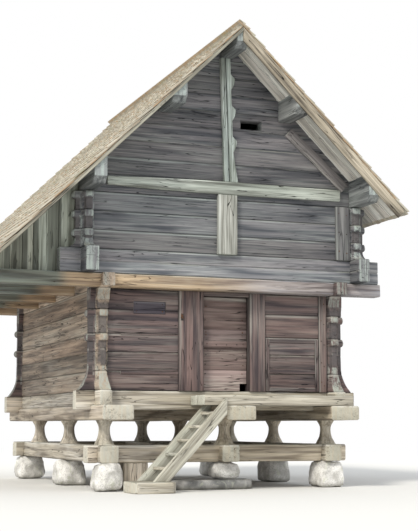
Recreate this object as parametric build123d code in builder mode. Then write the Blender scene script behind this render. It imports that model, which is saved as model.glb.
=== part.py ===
from build123d import *
import os
from math import atan2, cos, degrees, hypot, pi, radians, sin, tan

os.makedirs("parts", exist_ok=True)

# All sizes are in millimetres, with +Z up and the door front facing -Y.
# The origin lies on the ground, at the middle of the whole building's box.

# Heights of the layers, from the ground up
stone_height = 430
base_log_height = 270
leg_height = 390
sleeper_height = 230
sill_height = 300
sill_drop = 70  # how far a sill reaches down beside a sleeper
lower_courses = (300, 300, 290, 380, 330)
joist_height = 210
upper_base_courses = (190, 190)
upper_courses = (300, 300, 300)
plate_rise = 263  # from the top of the walls to the roof boards, at the outer face

# Plan of the two storeys, between the middles of their walls
log_width = 200
log_chamfer = 14
lower_half_width = 2000
lower_length = 5100
side_jetty = 320
end_jetty = 260

# Carved log ends, as reaches beyond the outer face of the wall that they cross
sill_reach = 300
lower_flare_reach = 250
lower_flare_height = 400
lower_neck_reach = 90
lower_knobs = 2
lower_bare_logs = 1  # at the top, without a knob
corbel_reach = 400
corbel_rise = 150
upper_block_reach = 330
upper_flare_reach = 210
upper_flare_height = 150
upper_neck_reach = 75
upper_knobs = 3
knob_radius = 65
knob_facets = 6

# Base frame, legs and sleepers
base_log_width = 300
base_log_reach = 300  # past the middle of the front and rear walls
leg_foot_radius = 180
leg_waist_radius = 90
leg_head_radius = 150
leg_sides = 8
leg_waist_share = 0.64
middle_legs_place = 2150  # from the middle of the front wall
rear_legs_inset = 800
sleeper_width = 500
sleeper_reach = 650
sleeper_inset = 90  # of the outer sleepers, from the middle of the side walls
middle_offset = 100  # the middle sleeper stands a little right of the ridge line

# Roof
pitch = 44.5
cover_thickness = 60
deck_thickness = 25
left_eave_overhang = 430  # past the middle of the gallery plate
right_eave_overhang = 540
comb_reach = 68  # of the right slope's shakes past the ridge, up the slope
gable_overhang = 890
verge_lip = 20
barge_thickness = 30
left_barge_depth = 50
right_barge_depth = 170
deck_setback = 60
purlin_width = 230
purlin_height = 250
side_purlin_offset = 1050
ridge_purlin_width = 200
ridge_purlin_height = 300
end_cut = 110  # sloping cut under the end of each purlin and plate

# Gallery under the long left slope
gallery_rise = 265  # of the roof boards over the gallery floor's level
gallery_plate_width = 160
joist_width = 200
joist_end_overhang = 130  # past the middle of the gallery plate
joist_end_right = 360  # past the right upper wall
jetty_beam_width = 260
board_thickness = 40
inner_joists = 3

# Front of the gable
gable_log = 290
tie_inset = 300  # from the middle of the side walls
tie_height = 215
tie_depth = 90
tie_lift = 70
king_post_width = 240
king_post_depth = 80
lower_post_width = 330
vent_left = 250
vent_width = 380
vent_drop = 1570  # from the ridge to its sill
vent_height = 150
plank_width = 180
plank_thickness = 40
upright_width = 255
upright_margin = 10
brace_head_shift = 50
brace_head_drop = 160
brace_foot_rise = 35

# Doorway and door
door_left = -300
door_width = 800
door_height = 1540
left_post_width = 430
right_post_width = 280
post_proud = 35  # of the wall's face
leaf_thickness = 50
leaf_recess = 100
leaf_gap = 8
leaf_swing_gap = 14
sill_gap = 10
ledge_thickness = 22
cat_hole = 120

# Hatch, panel frame and end post on the front wall
hatch_width = 540
hatch_height = 200
hatch_margin = 210  # from the left post
hatch_drop = 185  # from the top of the wall
hatch_recess = 30
hatch_thickness = 20
hatch_gap = 3
end_post_width = 140
end_post_gap = 12
frame_margin = 10
frame_height = 860
frame_width = 60
frame_thickness = 25
joint_gap = 0.3
ledge_length = 960
front_ledges = ((262, 45, 24), (872, 22, 16))  # height over the wall's foot, height and depth of each
rail_level = 290  # of the middle rail over the foot of the frame

# Ironwork of the door
strap_length = 520
strap_width = 50
strap_thickness = 6
pin_radius = 8
barrel_wall = 6
pin_clearance = 1
barrel_gap = 6

# Landing and stair
landing_margin = 220  # left of the doorway
landing_overrun = 60  # past the middle of the right wall
landing_depth = 330
landing_thickness = 160
plank_gap = 12
stair_yaw = 12
stair_run = 1300
stair_shift = 120  # from the doorway's left edge to the top of the stair
stair_drop = 50  # from the top of the landing to the top of the stair
stair_bite = 8  # how deep the near stringer is let over the landing
stair_clear_width = 400
stringer_thickness = 70
stringer_depth = 180
tread_count = 5
tread_depth = 210
tread_thickness = 45
step_length = 660
step_height = 170
step_margin = 120
packing_shift = 280  # of the packing block, from the left sleeper's middle
packing_length = 400
packing_width = 260

# Levels that follow from the heights
base_log_level = stone_height
leg_level = base_log_level + base_log_height
sleeper_level = leg_level + leg_height
sleeper_top = sleeper_level + sleeper_height
sill_level = sleeper_top - sill_drop
wall_level = sill_level + sill_height
joist_level = wall_level + sum(lower_courses)
upper_level = joist_level + joist_height
upper_wall_courses = upper_base_courses + upper_courses
eaves_level = upper_level + sum(upper_wall_courses)
roof_depth = cover_thickness + deck_thickness

# Places that follow from the plan
stair_sine = sin(radians(stair_yaw))
stair_cosine = cos(radians(stair_yaw))
landing_front = -log_width / 2 - sleeper_reach
stair_swing = stair_run * stair_sine
step_reach = stair_swing + stringer_thickness + step_margin - stair_bite - landing_front
rear_reach = lower_length + end_jetty + gable_overhang
front_y = (step_reach - rear_reach) / 2
rear_y = front_y + lower_length
middle_y = front_y + lower_length / 2
upper_front_y = front_y - end_jetty
upper_rear_y = rear_y + end_jetty
upper_half_width = lower_half_width + side_jetty
half_log = log_width / 2
sleeper_spread = lower_half_width - sleeper_inset
gable_half = upper_half_width + half_log
deck_crown = eaves_level + plate_rise + gable_half * tan(radians(pitch))
ridge_height = deck_crown + roof_depth / cos(radians(pitch))
gallery_reach = (deck_crown - upper_level - gallery_rise) / tan(radians(pitch))
left_eave_reach = gallery_reach + left_eave_overhang
right_eave_reach = gable_half + right_eave_overhang
ridge_x = (left_eave_reach - right_eave_reach) / 2
verge_front = upper_front_y - gable_overhang
verge_rear = upper_rear_y + gable_overhang


def write(piece, name):
    """Label a finished piece and write it as its own file."""
    piece.part.label = name
    export_step(piece.part, f"parts/{name}.step")


def elevation(y):
    """Upright plane across the building, seen from the front, measured from the ridge line."""
    return Plane(origin=(ridge_x, y, 0), x_dir=(1, 0, 0), z_dir=(0, -1, 0))


def side_elevation(offset):
    """Upright plane along the building, measured from the middle of its length."""
    return Plane(origin=(ridge_x + offset, middle_y, 0), x_dir=(0, 1, 0), z_dir=(1, 0, 0))


def roof_level(offset, depth=0):
    """Height at a distance from the ridge line, a depth square below the top of the roof."""
    return ridge_height - depth / cos(radians(pitch)) - abs(offset) * tan(radians(pitch))


def log_outline(courses):
    """Cross-section of a stack of squared logs with chamfered edges."""
    side = []
    level = 0
    for height in courses:
        side.append((half_log - log_chamfer, level))
        side.append((half_log, level + log_chamfer))
        side.append((half_log, level + height - log_chamfer))
        level += height
    side.append((half_log - log_chamfer, level))
    return side + [(-across, up) for across, up in reversed(side)]


def cross_stack(y, level, reach, courses):
    """Logs laid across the building, as far as reach on both sides of the ridge line."""
    plane = Plane(origin=(ridge_x - reach, y, level), x_dir=(0, 1, 0), z_dir=(1, 0, 0))
    with BuildSketch(plane) as section:
        Polygon(*log_outline(courses), align=None)
    extrude(section.sketch, amount=2 * reach)


def long_stack(offset, level, reach, courses):
    """Logs laid along the building, as far as reach on both sides of its middle."""
    plane = Plane(origin=(ridge_x + offset, middle_y - reach, level), x_dir=(-1, 0, 0), z_dir=(0, 1, 0))
    with BuildSketch(plane) as section:
        Polygon(*log_outline(courses), align=None)
    extrude(section.sketch, amount=2 * reach)


def knob_levels(level, courses, count, bare=0):
    """Heights of the knob middles, each just under the top of its log, below the bare logs at the top."""
    last = len(courses) - bare
    return [level + sum(courses[:number]) - knob_radius for number in range(last - count + 1, last + 1)]


def knob_outline(start, middle):
    """Points of a carved knob, from its foot to its head."""
    turns = [pi * facet / knob_facets for facet in range(knob_facets + 1)]
    return [(start + knob_radius * sin(turn), middle - knob_radius * cos(turn)) for turn in turns]


def carve_ends(plane, face, level, top, flare, neck, knobs, block=None, corbel=None):
    """Trim a wall to its outline: block, flare, neck, a knob for each named log, and a corbel on top.

    face is the outer face of the crossing wall, flare and block are (reach, height), and corbel is
    (reach, level of its underside).
    """
    flare_reach, flare_height = flare
    with BuildSketch(plane) as outline:
        with BuildLine():
            foot_level = level
            if block:
                block_reach, block_height = block
                foot_level = level + block_height
                Line((face + block_reach, level), (face + block_reach, foot_level))
                Line((face + block_reach, foot_level), (face + flare_reach, foot_level))
            spot = (face + neck, foot_level + flare_height)
            TangentArc(spot, (face + flare_reach, foot_level), tangent=(0, -1))
            for knob in knobs:
                Polyline(spot, *knob_outline(face + neck, knob))
                spot = (face + neck, knob + knob_radius)
            top_reach = neck
            if corbel:
                top_reach, underside = corbel
                corbel_foot = (face + neck, underside - corbel_rise)
                Line(spot, corbel_foot)
                TangentArc(corbel_foot, (face + top_reach, underside), tangent=(0, 1))
                spot = (face + top_reach, underside)
            if top > spot[1]:
                Line(spot, (face + top_reach, top))
            mirror(about=Plane.YZ)
            foot_reach = block[0] if block else flare_reach
            Line((-face - foot_reach, level), (face + foot_reach, level))
            Line((-face - top_reach, top), (face + top_reach, top))
        make_face()
    extrude(outline.sketch, amount=log_width, both=True, mode=Mode.INTERSECT)


def cut_laps(places, level, courses, upper):
    """Cut the upper or the lower half of every log where another wall crosses it."""
    for height in courses:
        middle = level + height * (0.75 if upper else 0.25)
        with Locations(*[(x, y, middle) for x, y in places]):
            Box(log_width, log_width, height / 2, mode=Mode.SUBTRACT)
        level += height


def corners(half_width, near, far):
    """The four places where the walls of a storey cross."""
    return [(ridge_x + side * half_width, y) for side in (-1, 1) for y in (near, far)]


lower_corners = corners(lower_half_width, front_y, rear_y)
upper_corners = corners(upper_half_width, upper_front_y, upper_rear_y)

# Foundation stones, each turned a little and with a flat foot on the ground
stone_spots = [
    (-sleeper_spread, -150, 520, 420, 8),
    (-sleeper_spread, middle_legs_place, 620, 460, -6),
    (-sleeper_spread, lower_length, 560, 480, 12),
    (middle_offset, lower_length, 560, 440, -9),
    (sleeper_spread, 0, 520, 460, 6),
    (sleeper_spread, middle_legs_place, 600, 420, -10),
    (sleeper_spread, lower_length, 540, 460, 15),
]
stone_corner = 110
stone_batter = 6
stone_edge = 45
slab_length = 1400
slab_width = 620
slab_height = 150
slab_shift = -270  # of its middle, from the middle leg
slab_corner = 160
slab_edge = 30
raised_stone = (520, 400)
with BuildPart() as foundation_stones:
    for offset, along, length, width, turn in stone_spots:
        with BuildSketch() as stone_foot:
            with Locations(Location((ridge_x + offset, front_y + along), turn)):
                Rectangle(width, length)
            chamfer(stone_foot.vertices(), stone_corner)
        extrude(amount=stone_height, taper=stone_batter)
    with BuildSketch(Plane(origin=(ridge_x + middle_offset, front_y, slab_height))) as raised_foot:
        Rectangle(*raised_stone)
        chamfer(raised_foot.vertices(), stone_corner)
    extrude(amount=stone_height - slab_height, taper=stone_batter)
    chamfer(foundation_stones.faces().filter_by(Axis.Z).group_by(Axis.Z)[-1].edges(), stone_edge)
write(foundation_stones, "foundation_stones")

# Broad slab under the middle front stone
with BuildPart() as slab_stone:
    with BuildSketch() as slab_foot:
        with Locations((ridge_x + middle_offset + slab_shift, front_y)):
            Rectangle(slab_length, slab_width)
        chamfer(slab_foot.vertices(), slab_corner)
    extrude(amount=slab_height, taper=stone_batter)
    chamfer(slab_stone.faces().sort_by(Axis.Z)[-1].edges(), slab_edge)
write(slab_stone, "slab_stone")

# Base frame of squared logs, half lapped at the crossings
base_reach = lower_length / 2 + base_log_reach
base_offsets = [-sleeper_spread, middle_offset, sleeper_spread]
cross_rows = [front_y, rear_y]
cross_reach = sleeper_spread + base_log_width
lap_height = base_log_height / 2
base_log_edge = 25

with BuildPart() as long_base_logs:
    for offset in base_offsets:
        with BuildSketch(Plane(origin=(ridge_x + offset, middle_y - base_reach, base_log_level),
                               x_dir=(-1, 0, 0), z_dir=(0, 1, 0))) as base_end:
            Rectangle(base_log_width, base_log_height, align=(Align.CENTER, Align.MIN))
            chamfer(base_end.vertices(), base_log_edge)
        extrude(amount=2 * base_reach)
    with Locations(*[(ridge_x + offset, y, leg_level) for offset in base_offsets for y in cross_rows]):
        Box(base_log_width, base_log_width, lap_height, align=(Align.CENTER, Align.CENTER, Align.MAX),
            mode=Mode.SUBTRACT)
write(long_base_logs, "long_base_logs")

with BuildPart() as cross_base_logs:
    for y in cross_rows:
        with BuildSketch(Plane(origin=(ridge_x - cross_reach, y, base_log_level),
                               x_dir=(0, 1, 0), z_dir=(1, 0, 0))) as cross_end:
            Rectangle(base_log_width, base_log_height, align=(Align.CENTER, Align.MIN))
            chamfer(cross_end.vertices(), base_log_edge)
        extrude(amount=2 * cross_reach)
    with Locations(*[(ridge_x + offset, y, base_log_level) for offset in base_offsets for y in cross_rows]):
        Box(base_log_width, base_log_width, base_log_height - lap_height,
            align=(Align.CENTER, Align.CENTER, Align.MIN), mode=Mode.SUBTRACT)
write(cross_base_logs, "cross_base_logs")

# Hourglass legs in three rows, hewn round with many flat sides
leg_rows = [front_y, front_y + middle_legs_place, rear_y - rear_legs_inset]
waist_level = leg_height * leg_waist_share
foot_spread = leg_foot_radius - leg_waist_radius
head_spread = leg_head_radius - leg_waist_radius
leg_profile = [
    (0, leg_foot_radius),
    (0.2 * waist_level, leg_waist_radius + 0.62 * foot_spread),
    (0.5 * waist_level, leg_waist_radius + 0.2 * foot_spread),
    (waist_level, leg_waist_radius),
    ((waist_level + leg_height) / 2, leg_waist_radius + 0.3 * head_spread),
    (leg_height, leg_head_radius),
]
leg_flat = cos(pi / leg_sides)  # from the middle of a leg to a flat side, as a share of its radius
leg_outline = [(radius * leg_flat, rise) for rise, radius in leg_profile]
leg_outline += [(-across, rise) for across, rise in reversed(leg_outline)]
with BuildPart() as leg:
    for side in range(leg_sides // 2):
        turn = 2 * pi * side / leg_sides
        across = (cos(turn), sin(turn), 0)
        out = (sin(turn), -cos(turn), 0)
        with BuildSketch(Plane(origin=(0, 0, 0), x_dir=across, z_dir=out)):
            Polygon(*leg_outline, align=None)
        extrude(amount=leg_foot_radius, both=True, mode=Mode.INTERSECT if side else Mode.ADD)

with BuildPart() as legs:
    with Locations(*[(ridge_x + offset, y, leg_level) for offset in base_offsets for y in leg_rows]):
        add(leg.part)
write(legs, "legs")

# Three broad sleepers along the building
sleeper_half_length = lower_length / 2 + half_log + sleeper_reach
sleeper_edge = 20
with BuildPart() as sleepers:
    for offset in base_offsets:
        with BuildSketch(Plane(origin=(ridge_x + offset, middle_y - sleeper_half_length, sleeper_level),
                               x_dir=(-1, 0, 0), z_dir=(0, 1, 0))) as sleeper_end:
            Rectangle(sleeper_width, sleeper_height, align=(Align.CENTER, Align.MIN))
            chamfer(sleeper_end.vertices(), sleeper_edge)
        extrude(amount=2 * sleeper_half_length)
write(sleepers, "sleepers")

# Sills: the lowest logs of the lower storey, notched down over the sleepers
long_sill_reach = lower_length / 2 + half_log + sill_reach
cross_sill_reach = lower_half_width + half_log + sill_reach
sill = (sill_height,)

with BuildPart() as cross_sills:
    for y in cross_rows:
        cross_stack(y, sill_level, cross_sill_reach, sill)
    with Locations(*[(ridge_x + offset, middle_y, sill_level) for offset in base_offsets]):
        Box(sleeper_width, 2 * sleeper_half_length, sill_drop, align=(Align.CENTER, Align.CENTER, Align.MIN),
            mode=Mode.SUBTRACT)
    cut_laps(lower_corners, sill_level, sill, upper=True)
write(cross_sills, "cross_sills")

with BuildPart() as long_sills:
    for side in (-1, 1):
        long_stack(side * lower_half_width, sill_level, long_sill_reach, sill)
    with Locations(*[(ridge_x + offset, middle_y, sill_level) for offset in base_offsets]):
        Box(sleeper_width, 2 * sleeper_half_length, sill_drop, align=(Align.CENTER, Align.CENTER, Align.MIN),
            mode=Mode.SUBTRACT)
    cut_laps(lower_corners, sill_level, sill, upper=False)
write(long_sills, "long_sills")

# Side walls of the lower storey, with a corbel for the jettied front on their top log
side_courses = lower_courses + (joist_height,)
side_wall_reach = lower_length / 2 + half_log + corbel_reach
side_knobs = knob_levels(wall_level, lower_courses, lower_knobs, lower_bare_logs)
joist_rows = [front_y + lower_length * (row + 1) / (inner_joists + 1) for row in range(inner_joists)]
jetty_rows = [upper_front_y, upper_rear_y]

for name, side in (("left", -1), ("right", 1)):
    with BuildPart() as side_wall:
        long_stack(side * lower_half_width, wall_level, side_wall_reach, side_courses)
        carve_ends(
            side_elevation(side * lower_half_width),
            lower_length / 2 + half_log,
            wall_level,
            upper_level,
            (lower_flare_reach, lower_flare_height),
            lower_neck_reach,
            side_knobs,
            corbel=(corbel_reach, joist_level),
        )
        cut_laps(lower_corners, wall_level, side_courses, upper=False)
        with Locations(*[(ridge_x + side * lower_half_width, y, upper_level) for y in joist_rows]):
            Box(log_width, joist_width, joist_height / 2, align=(Align.CENTER, Align.CENTER, Align.MAX),
                mode=Mode.SUBTRACT)
        with Locations(*[(ridge_x + side * lower_half_width, y, upper_level) for y in jetty_rows]):
            Box(log_width, jetty_beam_width, joist_height / 2, align=(Align.CENTER, Align.CENTER, Align.MAX),
                mode=Mode.SUBTRACT)
    write(side_wall, f"{name}_lower_wall")

# Rear wall of the lower storey
end_wall_reach = lower_half_width + half_log + lower_flare_reach
with BuildPart() as rear_wall:
    cross_stack(rear_y, wall_level, end_wall_reach, side_courses)
    carve_ends(
        elevation(rear_y),
        lower_half_width + half_log,
        wall_level,
        upper_level,
        (lower_flare_reach, lower_flare_height),
        lower_neck_reach,
        side_knobs,
    )
    cut_laps(lower_corners, wall_level, side_courses, upper=True)
write(rear_wall, "rear_lower_wall")

# Front wall of the lower storey, in two parts beside the doorway, with a shuttered hatch on the left
door_right = door_left + door_width
left_post_edge = door_left - left_post_width
right_post_edge = door_right + right_post_width
doorway_width = right_post_edge - left_post_edge
wall_height = sum(lower_courses)
wall_face = front_y - half_log
with BuildPart() as front_lower_wall:
    cross_stack(front_y, wall_level, end_wall_reach, lower_courses)
    carve_ends(
        elevation(front_y),
        lower_half_width + half_log,
        wall_level,
        joist_level,
        (lower_flare_reach, lower_flare_height),
        lower_neck_reach,
        side_knobs,
    )
    cut_laps(lower_corners, wall_level, lower_courses, upper=True)
    with Locations((ridge_x + left_post_edge, front_y, wall_level)):
        Box(doorway_width, log_width, wall_height, align=(Align.MIN, Align.CENTER, Align.MIN),
            mode=Mode.SUBTRACT)
    with Locations((ridge_x + left_post_edge - hatch_margin, wall_face, joist_level - hatch_drop)):
        Box(hatch_width, hatch_recess, hatch_height, align=(Align.MAX, Align.MIN, Align.MAX),
            mode=Mode.SUBTRACT)
write(front_lower_wall, "front_lower_wall")

with BuildPart() as front_hatch:
    with Locations((ridge_x + left_post_edge - hatch_margin - hatch_gap, wall_face + hatch_recess,
                    joist_level - hatch_drop - hatch_gap)):
        Box(hatch_width - 2 * hatch_gap, hatch_thickness, hatch_height - 2 * hatch_gap,
            align=(Align.MAX, Align.MAX, Align.MAX))
write(front_hatch, "front_hatch")

# Framed panel and end post right of the doorway, and two ledges left of it
end_post_right = lower_half_width - half_log - end_post_gap
frame_left = right_post_edge + frame_margin
frame_right = end_post_right - end_post_width - frame_margin
frame_foot = wall_level + frame_margin
rail_start = frame_left + frame_width + joint_gap
rail_length = frame_right - frame_left - 2 * (frame_width + joint_gap)
with BuildPart() as front_trim:
    with BuildSketch(elevation(wall_face)):
        with Locations((frame_left, frame_foot), (frame_right - frame_width, frame_foot)):
            Rectangle(frame_width, frame_height, align=(Align.MIN, Align.MIN))
        rail_rises = (0, rail_level, frame_height - frame_width)
        with Locations(*[(rail_start, frame_foot + rise) for rise in rail_rises]):
            Rectangle(rail_length, frame_width, align=(Align.MIN, Align.MIN))
    extrude(amount=frame_thickness)
    with Locations((ridge_x + end_post_right, wall_face, wall_level)):
        Box(end_post_width, post_proud, wall_height, align=(Align.MAX, Align.MAX, Align.MIN))
    for rise, height, reach in front_ledges:
        with Locations((ridge_x + left_post_edge - joint_gap, wall_face, wall_level + rise)):
            Box(ledge_length, reach, height, align=(Align.MAX, Align.MAX, Align.MIN))
write(front_trim, "front_trim")

# Log over the door posts, level with the joists
top_log_reach = lower_half_width + half_log + lower_neck_reach
with BuildPart() as front_top_log:
    cross_stack(front_y, joist_level, top_log_reach, (joist_height,))
    cut_laps(lower_corners, joist_level, (joist_height,), upper=True)
write(front_top_log, "front_top_log")

# Door posts and the head board between them
post_edge = 12
with BuildPart() as door_posts:
    for start, width in ((left_post_edge, left_post_width), (door_right, right_post_width)):
        with BuildSketch(Plane(origin=(ridge_x + start, wall_face - post_proud, wall_level))) as post_foot:
            Rectangle(width, log_width + post_proud, align=(Align.MIN, Align.MIN))
            chamfer(post_foot.vertices().group_by(Axis.Y)[0], post_edge)
        extrude(amount=wall_height)
write(door_posts, "door_posts")

head_level = wall_level + door_height
with BuildPart() as door_head:
    with Locations((ridge_x + door_left, front_y, head_level)):
        Box(door_width, log_width, joist_level - head_level, align=(Align.MIN, Align.CENTER, Align.MIN))
write(door_head, "door_head")

# Jetty beams and joists, lapped over the side walls and run out to carry the gallery
joist_end_left = gallery_reach + joist_end_overhang
joist_length = joist_end_left + gable_half + joist_end_right
joist_edge = 20
beam_rows = [(y, jetty_beam_width) for y in jetty_rows] + [(y, joist_width) for y in joist_rows]
with BuildPart() as floor_beams:
    for y, width in beam_rows:
        with BuildSketch(Plane(origin=(ridge_x - joist_end_left, y, joist_level),
                               x_dir=(0, 1, 0), z_dir=(1, 0, 0))) as beam_end:
            Rectangle(width, joist_height, align=(Align.CENTER, Align.MIN))
            chamfer(beam_end.vertices().group_by(Axis.Z)[0], joist_edge)
        extrude(amount=joist_length)
        with Locations(*[(ridge_x + side * lower_half_width, y, joist_level) for side in (-1, 1)]):
            Box(log_width, width, joist_height / 2, align=(Align.CENTER, Align.CENTER, Align.MIN),
                mode=Mode.SUBTRACT)
write(floor_beams, "floor_beams")

# Walls of the upper storey
end_knobs = knob_levels(upper_level, upper_wall_courses, upper_knobs)
upper_block = (upper_block_reach, sum(upper_base_courses))
upper_flare = (upper_flare_reach, upper_flare_height)
upper_end_reach = upper_half_width + half_log + upper_block_reach
upper_half_length = lower_length / 2 + end_jetty
for name, y in (("front", upper_front_y), ("rear", upper_rear_y)):
    with BuildPart() as upper_end_wall:
        cross_stack(y, upper_level, upper_end_reach, upper_wall_courses)
        carve_ends(elevation(y), upper_half_width + half_log, upper_level, eaves_level, upper_flare,
                   upper_neck_reach, end_knobs, block=upper_block)
        cut_laps(upper_corners, upper_level, upper_wall_courses, upper=True)
    write(upper_end_wall, f"{name}_upper_wall")

for name, side in (("left", -1), ("right", 1)):
    with BuildPart() as upper_side_wall:
        long_stack(side * upper_half_width, upper_level, upper_half_length + half_log + upper_block_reach,
                   upper_wall_courses)
        carve_ends(side_elevation(side * upper_half_width), upper_half_length + half_log, upper_level,
                   eaves_level, upper_flare, upper_neck_reach, end_knobs, block=upper_block)
        cut_laps(upper_corners, upper_level, upper_wall_courses, upper=False)
    write(upper_side_wall, f"{name}_upper_wall")

# Floors of the lower storey, the upper storey and the gallery
lower_floor_half = lower_half_width - half_log
upper_floor_half = upper_half_width - half_log
gallery_inner = gable_half
gallery_outer = gallery_reach - gallery_plate_width / 2
boarding_front = upper_front_y + half_log
boarding_rear = upper_rear_y - half_log
with BuildPart() as floors:
    with Locations((ridge_x, middle_y, sleeper_top)):
        Box(2 * lower_floor_half, lower_length - log_width, board_thickness,
            align=(Align.CENTER, Align.CENTER, Align.MIN))
    with Locations((ridge_x, middle_y, upper_level)):
        Box(2 * upper_floor_half, 2 * (upper_half_length - half_log), board_thickness,
            align=(Align.CENTER, Align.CENTER, Align.MIN))
    with Locations((ridge_x - gallery_outer, middle_y, upper_level)):
        Box(gallery_outer - gallery_inner, boarding_rear - boarding_front - 2 * board_thickness,
            board_thickness, align=(Align.MIN, Align.CENTER, Align.MIN))
write(floors, "floors")

# Timbers under the roof boards, each topped to the slope
purlin_start = verge_front + verge_lip + barge_thickness
purlin_length = verge_rear - verge_front - 2 * (verge_lip + barge_thickness)


def sloped_timber(offset, width, bottom):
    """Cross-section of a timber centred at offset, with its top cut to the underside of the roof boards."""
    low, high = offset - width / 2, offset + width / 2
    top = [(place, roof_level(place, roof_depth)) for place in (high, low)]
    return [(low, bottom), (high, bottom)] + top


ridge_half = ridge_purlin_width / 2
ridge_bottom = roof_level(0, roof_depth) - ridge_purlin_height
ridge_section = [
    (-ridge_half, ridge_bottom),
    (ridge_half, ridge_bottom),
    (ridge_half, roof_level(ridge_half, roof_depth)),
    (0, roof_level(0, roof_depth)),
    (-ridge_half, roof_level(ridge_half, roof_depth)),
]
purlin_bottom = roof_level(side_purlin_offset, roof_depth) - purlin_height
purlin_sections = [ridge_section] + [
    sloped_timber(side * side_purlin_offset, purlin_width, purlin_bottom) for side in (-1, 1)
]
plate_sections = [sloped_timber(side * upper_half_width, log_width, eaves_level) for side in (-1, 1)]
for name, sections in (("purlins", purlin_sections), ("wall_plates", plate_sections)):
    with BuildPart() as timbers:
        for section in sections:
            with BuildSketch(elevation(purlin_start)):
                Polygon(*section, align=None)
            extrude(amount=-purlin_length)
        feet = [timber.faces().sort_by(Axis.Z)[0] for timber in timbers.solids()]
        chamfer([edge for foot in feet for edge in foot.edges().filter_by(Axis.X)], end_cut)
    write(timbers, name)

with BuildPart() as gallery_plate:
    with BuildSketch(elevation(boarding_front)):
        Polygon(*sloped_timber(-gallery_reach, gallery_plate_width, upper_level), align=None)
    extrude(amount=boarding_front - boarding_rear)
write(gallery_plate, "gallery_plate")

# Boarded ends of the gallery, between the jetty beam and the roof
boarding = [
    (-gallery_outer, upper_level),
    (-gallery_inner, upper_level),
    (-gallery_inner, roof_level(gallery_inner, roof_depth)),
    (-gallery_outer, roof_level(gallery_outer, roof_depth)),
]
with BuildPart() as gallery_boarding:
    for y in (boarding_front, boarding_rear - board_thickness):
        with BuildSketch(elevation(y)):
            Polygon(*boarding, align=None)
        extrude(amount=-board_thickness)
write(gallery_boarding, "gallery_boarding")

# Gables of level logs, cut to the slope and pocketed for the purlins
gable_outline = [
    (-gable_half, eaves_level),
    (gable_half, eaves_level),
    (gable_half, roof_level(gable_half, roof_depth)),
    (0, roof_level(0, roof_depth)),
    (-gable_half, roof_level(gable_half, roof_depth)),
]
gable_count = int((ridge_height - eaves_level) // gable_log) + 1
for name, y in (("front", upper_front_y), ("rear", upper_rear_y)):
    with BuildPart() as gable:
        cross_stack(y, eaves_level, gable_half, (gable_log,) * gable_count)
        with BuildSketch(elevation(y)):
            Polygon(*gable_outline, align=None)
        extrude(amount=log_width, both=True, mode=Mode.INTERSECT)
        with BuildSketch(elevation(y)):
            for section in purlin_sections + plate_sections:
                Polygon(*section, align=None)
        extrude(amount=log_width, both=True, mode=Mode.SUBTRACT)
        if name == "front":
            with Locations((ridge_x + vent_left, y, ridge_height - vent_drop)):
                Box(vent_width, 2 * log_width, vent_height, align=(Align.MIN, Align.CENTER, Align.MIN),
                    mode=Mode.SUBTRACT)
    write(gable, f"{name}_gable")

# Tie log and king posts on the face of the upper front
upper_face = upper_front_y - half_log
tie_level = eaves_level + tie_lift
tie_rounding = 40
tie_half_length = upper_half_width - tie_inset
with BuildPart() as tie_log:
    with BuildSketch(Plane(origin=(ridge_x - tie_half_length, upper_face, tie_level),
                           x_dir=(0, 1, 0), z_dir=(1, 0, 0))) as tie_end:
        Rectangle(tie_depth, tie_height, align=(Align.MAX, Align.MIN))
        fillet(tie_end.vertices().group_by(Axis.Y)[0], tie_rounding)
    extrude(amount=2 * tie_half_length)
write(tie_log, "tie_log")

king_bottom = tie_level + tie_height
lower_post_foot = upper_level + sum(upper_base_courses)
cusp_rise = 260
cusp_depth = 70
with BuildPart() as king_posts:
    with BuildSketch(elevation(upper_face)):
        half = king_post_width / 2
        with BuildLine():
            Line((half, king_bottom), (-half, king_bottom))
            Line((-half, king_bottom), (-half, ridge_bottom))
            Line((-half, ridge_bottom), (half - cusp_depth, ridge_bottom))
            cusps = int((ridge_bottom - king_bottom) // (2 * cusp_rise))
            level = ridge_bottom
            for cusp in range(cusps):
                Line((half - cusp_depth, level), (half - cusp_depth, level - cusp_rise))
                Line((half - cusp_depth, level - cusp_rise), (half, level - cusp_rise - cusp_depth))
                TangentArc((half, level - cusp_rise - cusp_depth), (half - cusp_depth, level - 2 * cusp_rise),
                           tangent=(0, -1))
                level -= 2 * cusp_rise
            Line((half - cusp_depth, level), (half, king_bottom))
        make_face()
    extrude(amount=king_post_depth)
    with Locations((ridge_x, upper_face, lower_post_foot)):
        Box(lower_post_width, king_post_depth, tie_level - lower_post_foot,
            align=(Align.CENTER, Align.MAX, Align.MIN))
write(king_posts, "king_posts")

# Sloping brace on the gable and an upright plank beside the right corner
brace_head = (side_purlin_offset + brace_head_shift, purlin_bottom - brace_head_drop)
brace_foot = (upper_half_width - half_log - plank_width / 2, king_bottom + brace_foot_rise)
brace_middle = ((brace_head[0] + brace_foot[0]) / 2, (brace_head[1] + brace_foot[1]) / 2)
brace_length = hypot(brace_foot[0] - brace_head[0], brace_foot[1] - brace_head[1])
brace_angle = degrees(atan2(brace_foot[1] - brace_head[1], brace_foot[0] - brace_head[0]))
with BuildPart() as face_planks:
    with BuildSketch(elevation(upper_face)):
        with Locations(brace_middle):
            Rectangle(brace_length, plank_width, rotation=brace_angle)
        with Locations((upper_half_width - half_log - upright_margin, lower_post_foot)):
            Rectangle(upright_width, eaves_level - lower_post_foot, align=(Align.MAX, Align.MIN))
    extrude(amount=plank_thickness)
write(face_planks, "face_planks")

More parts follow.
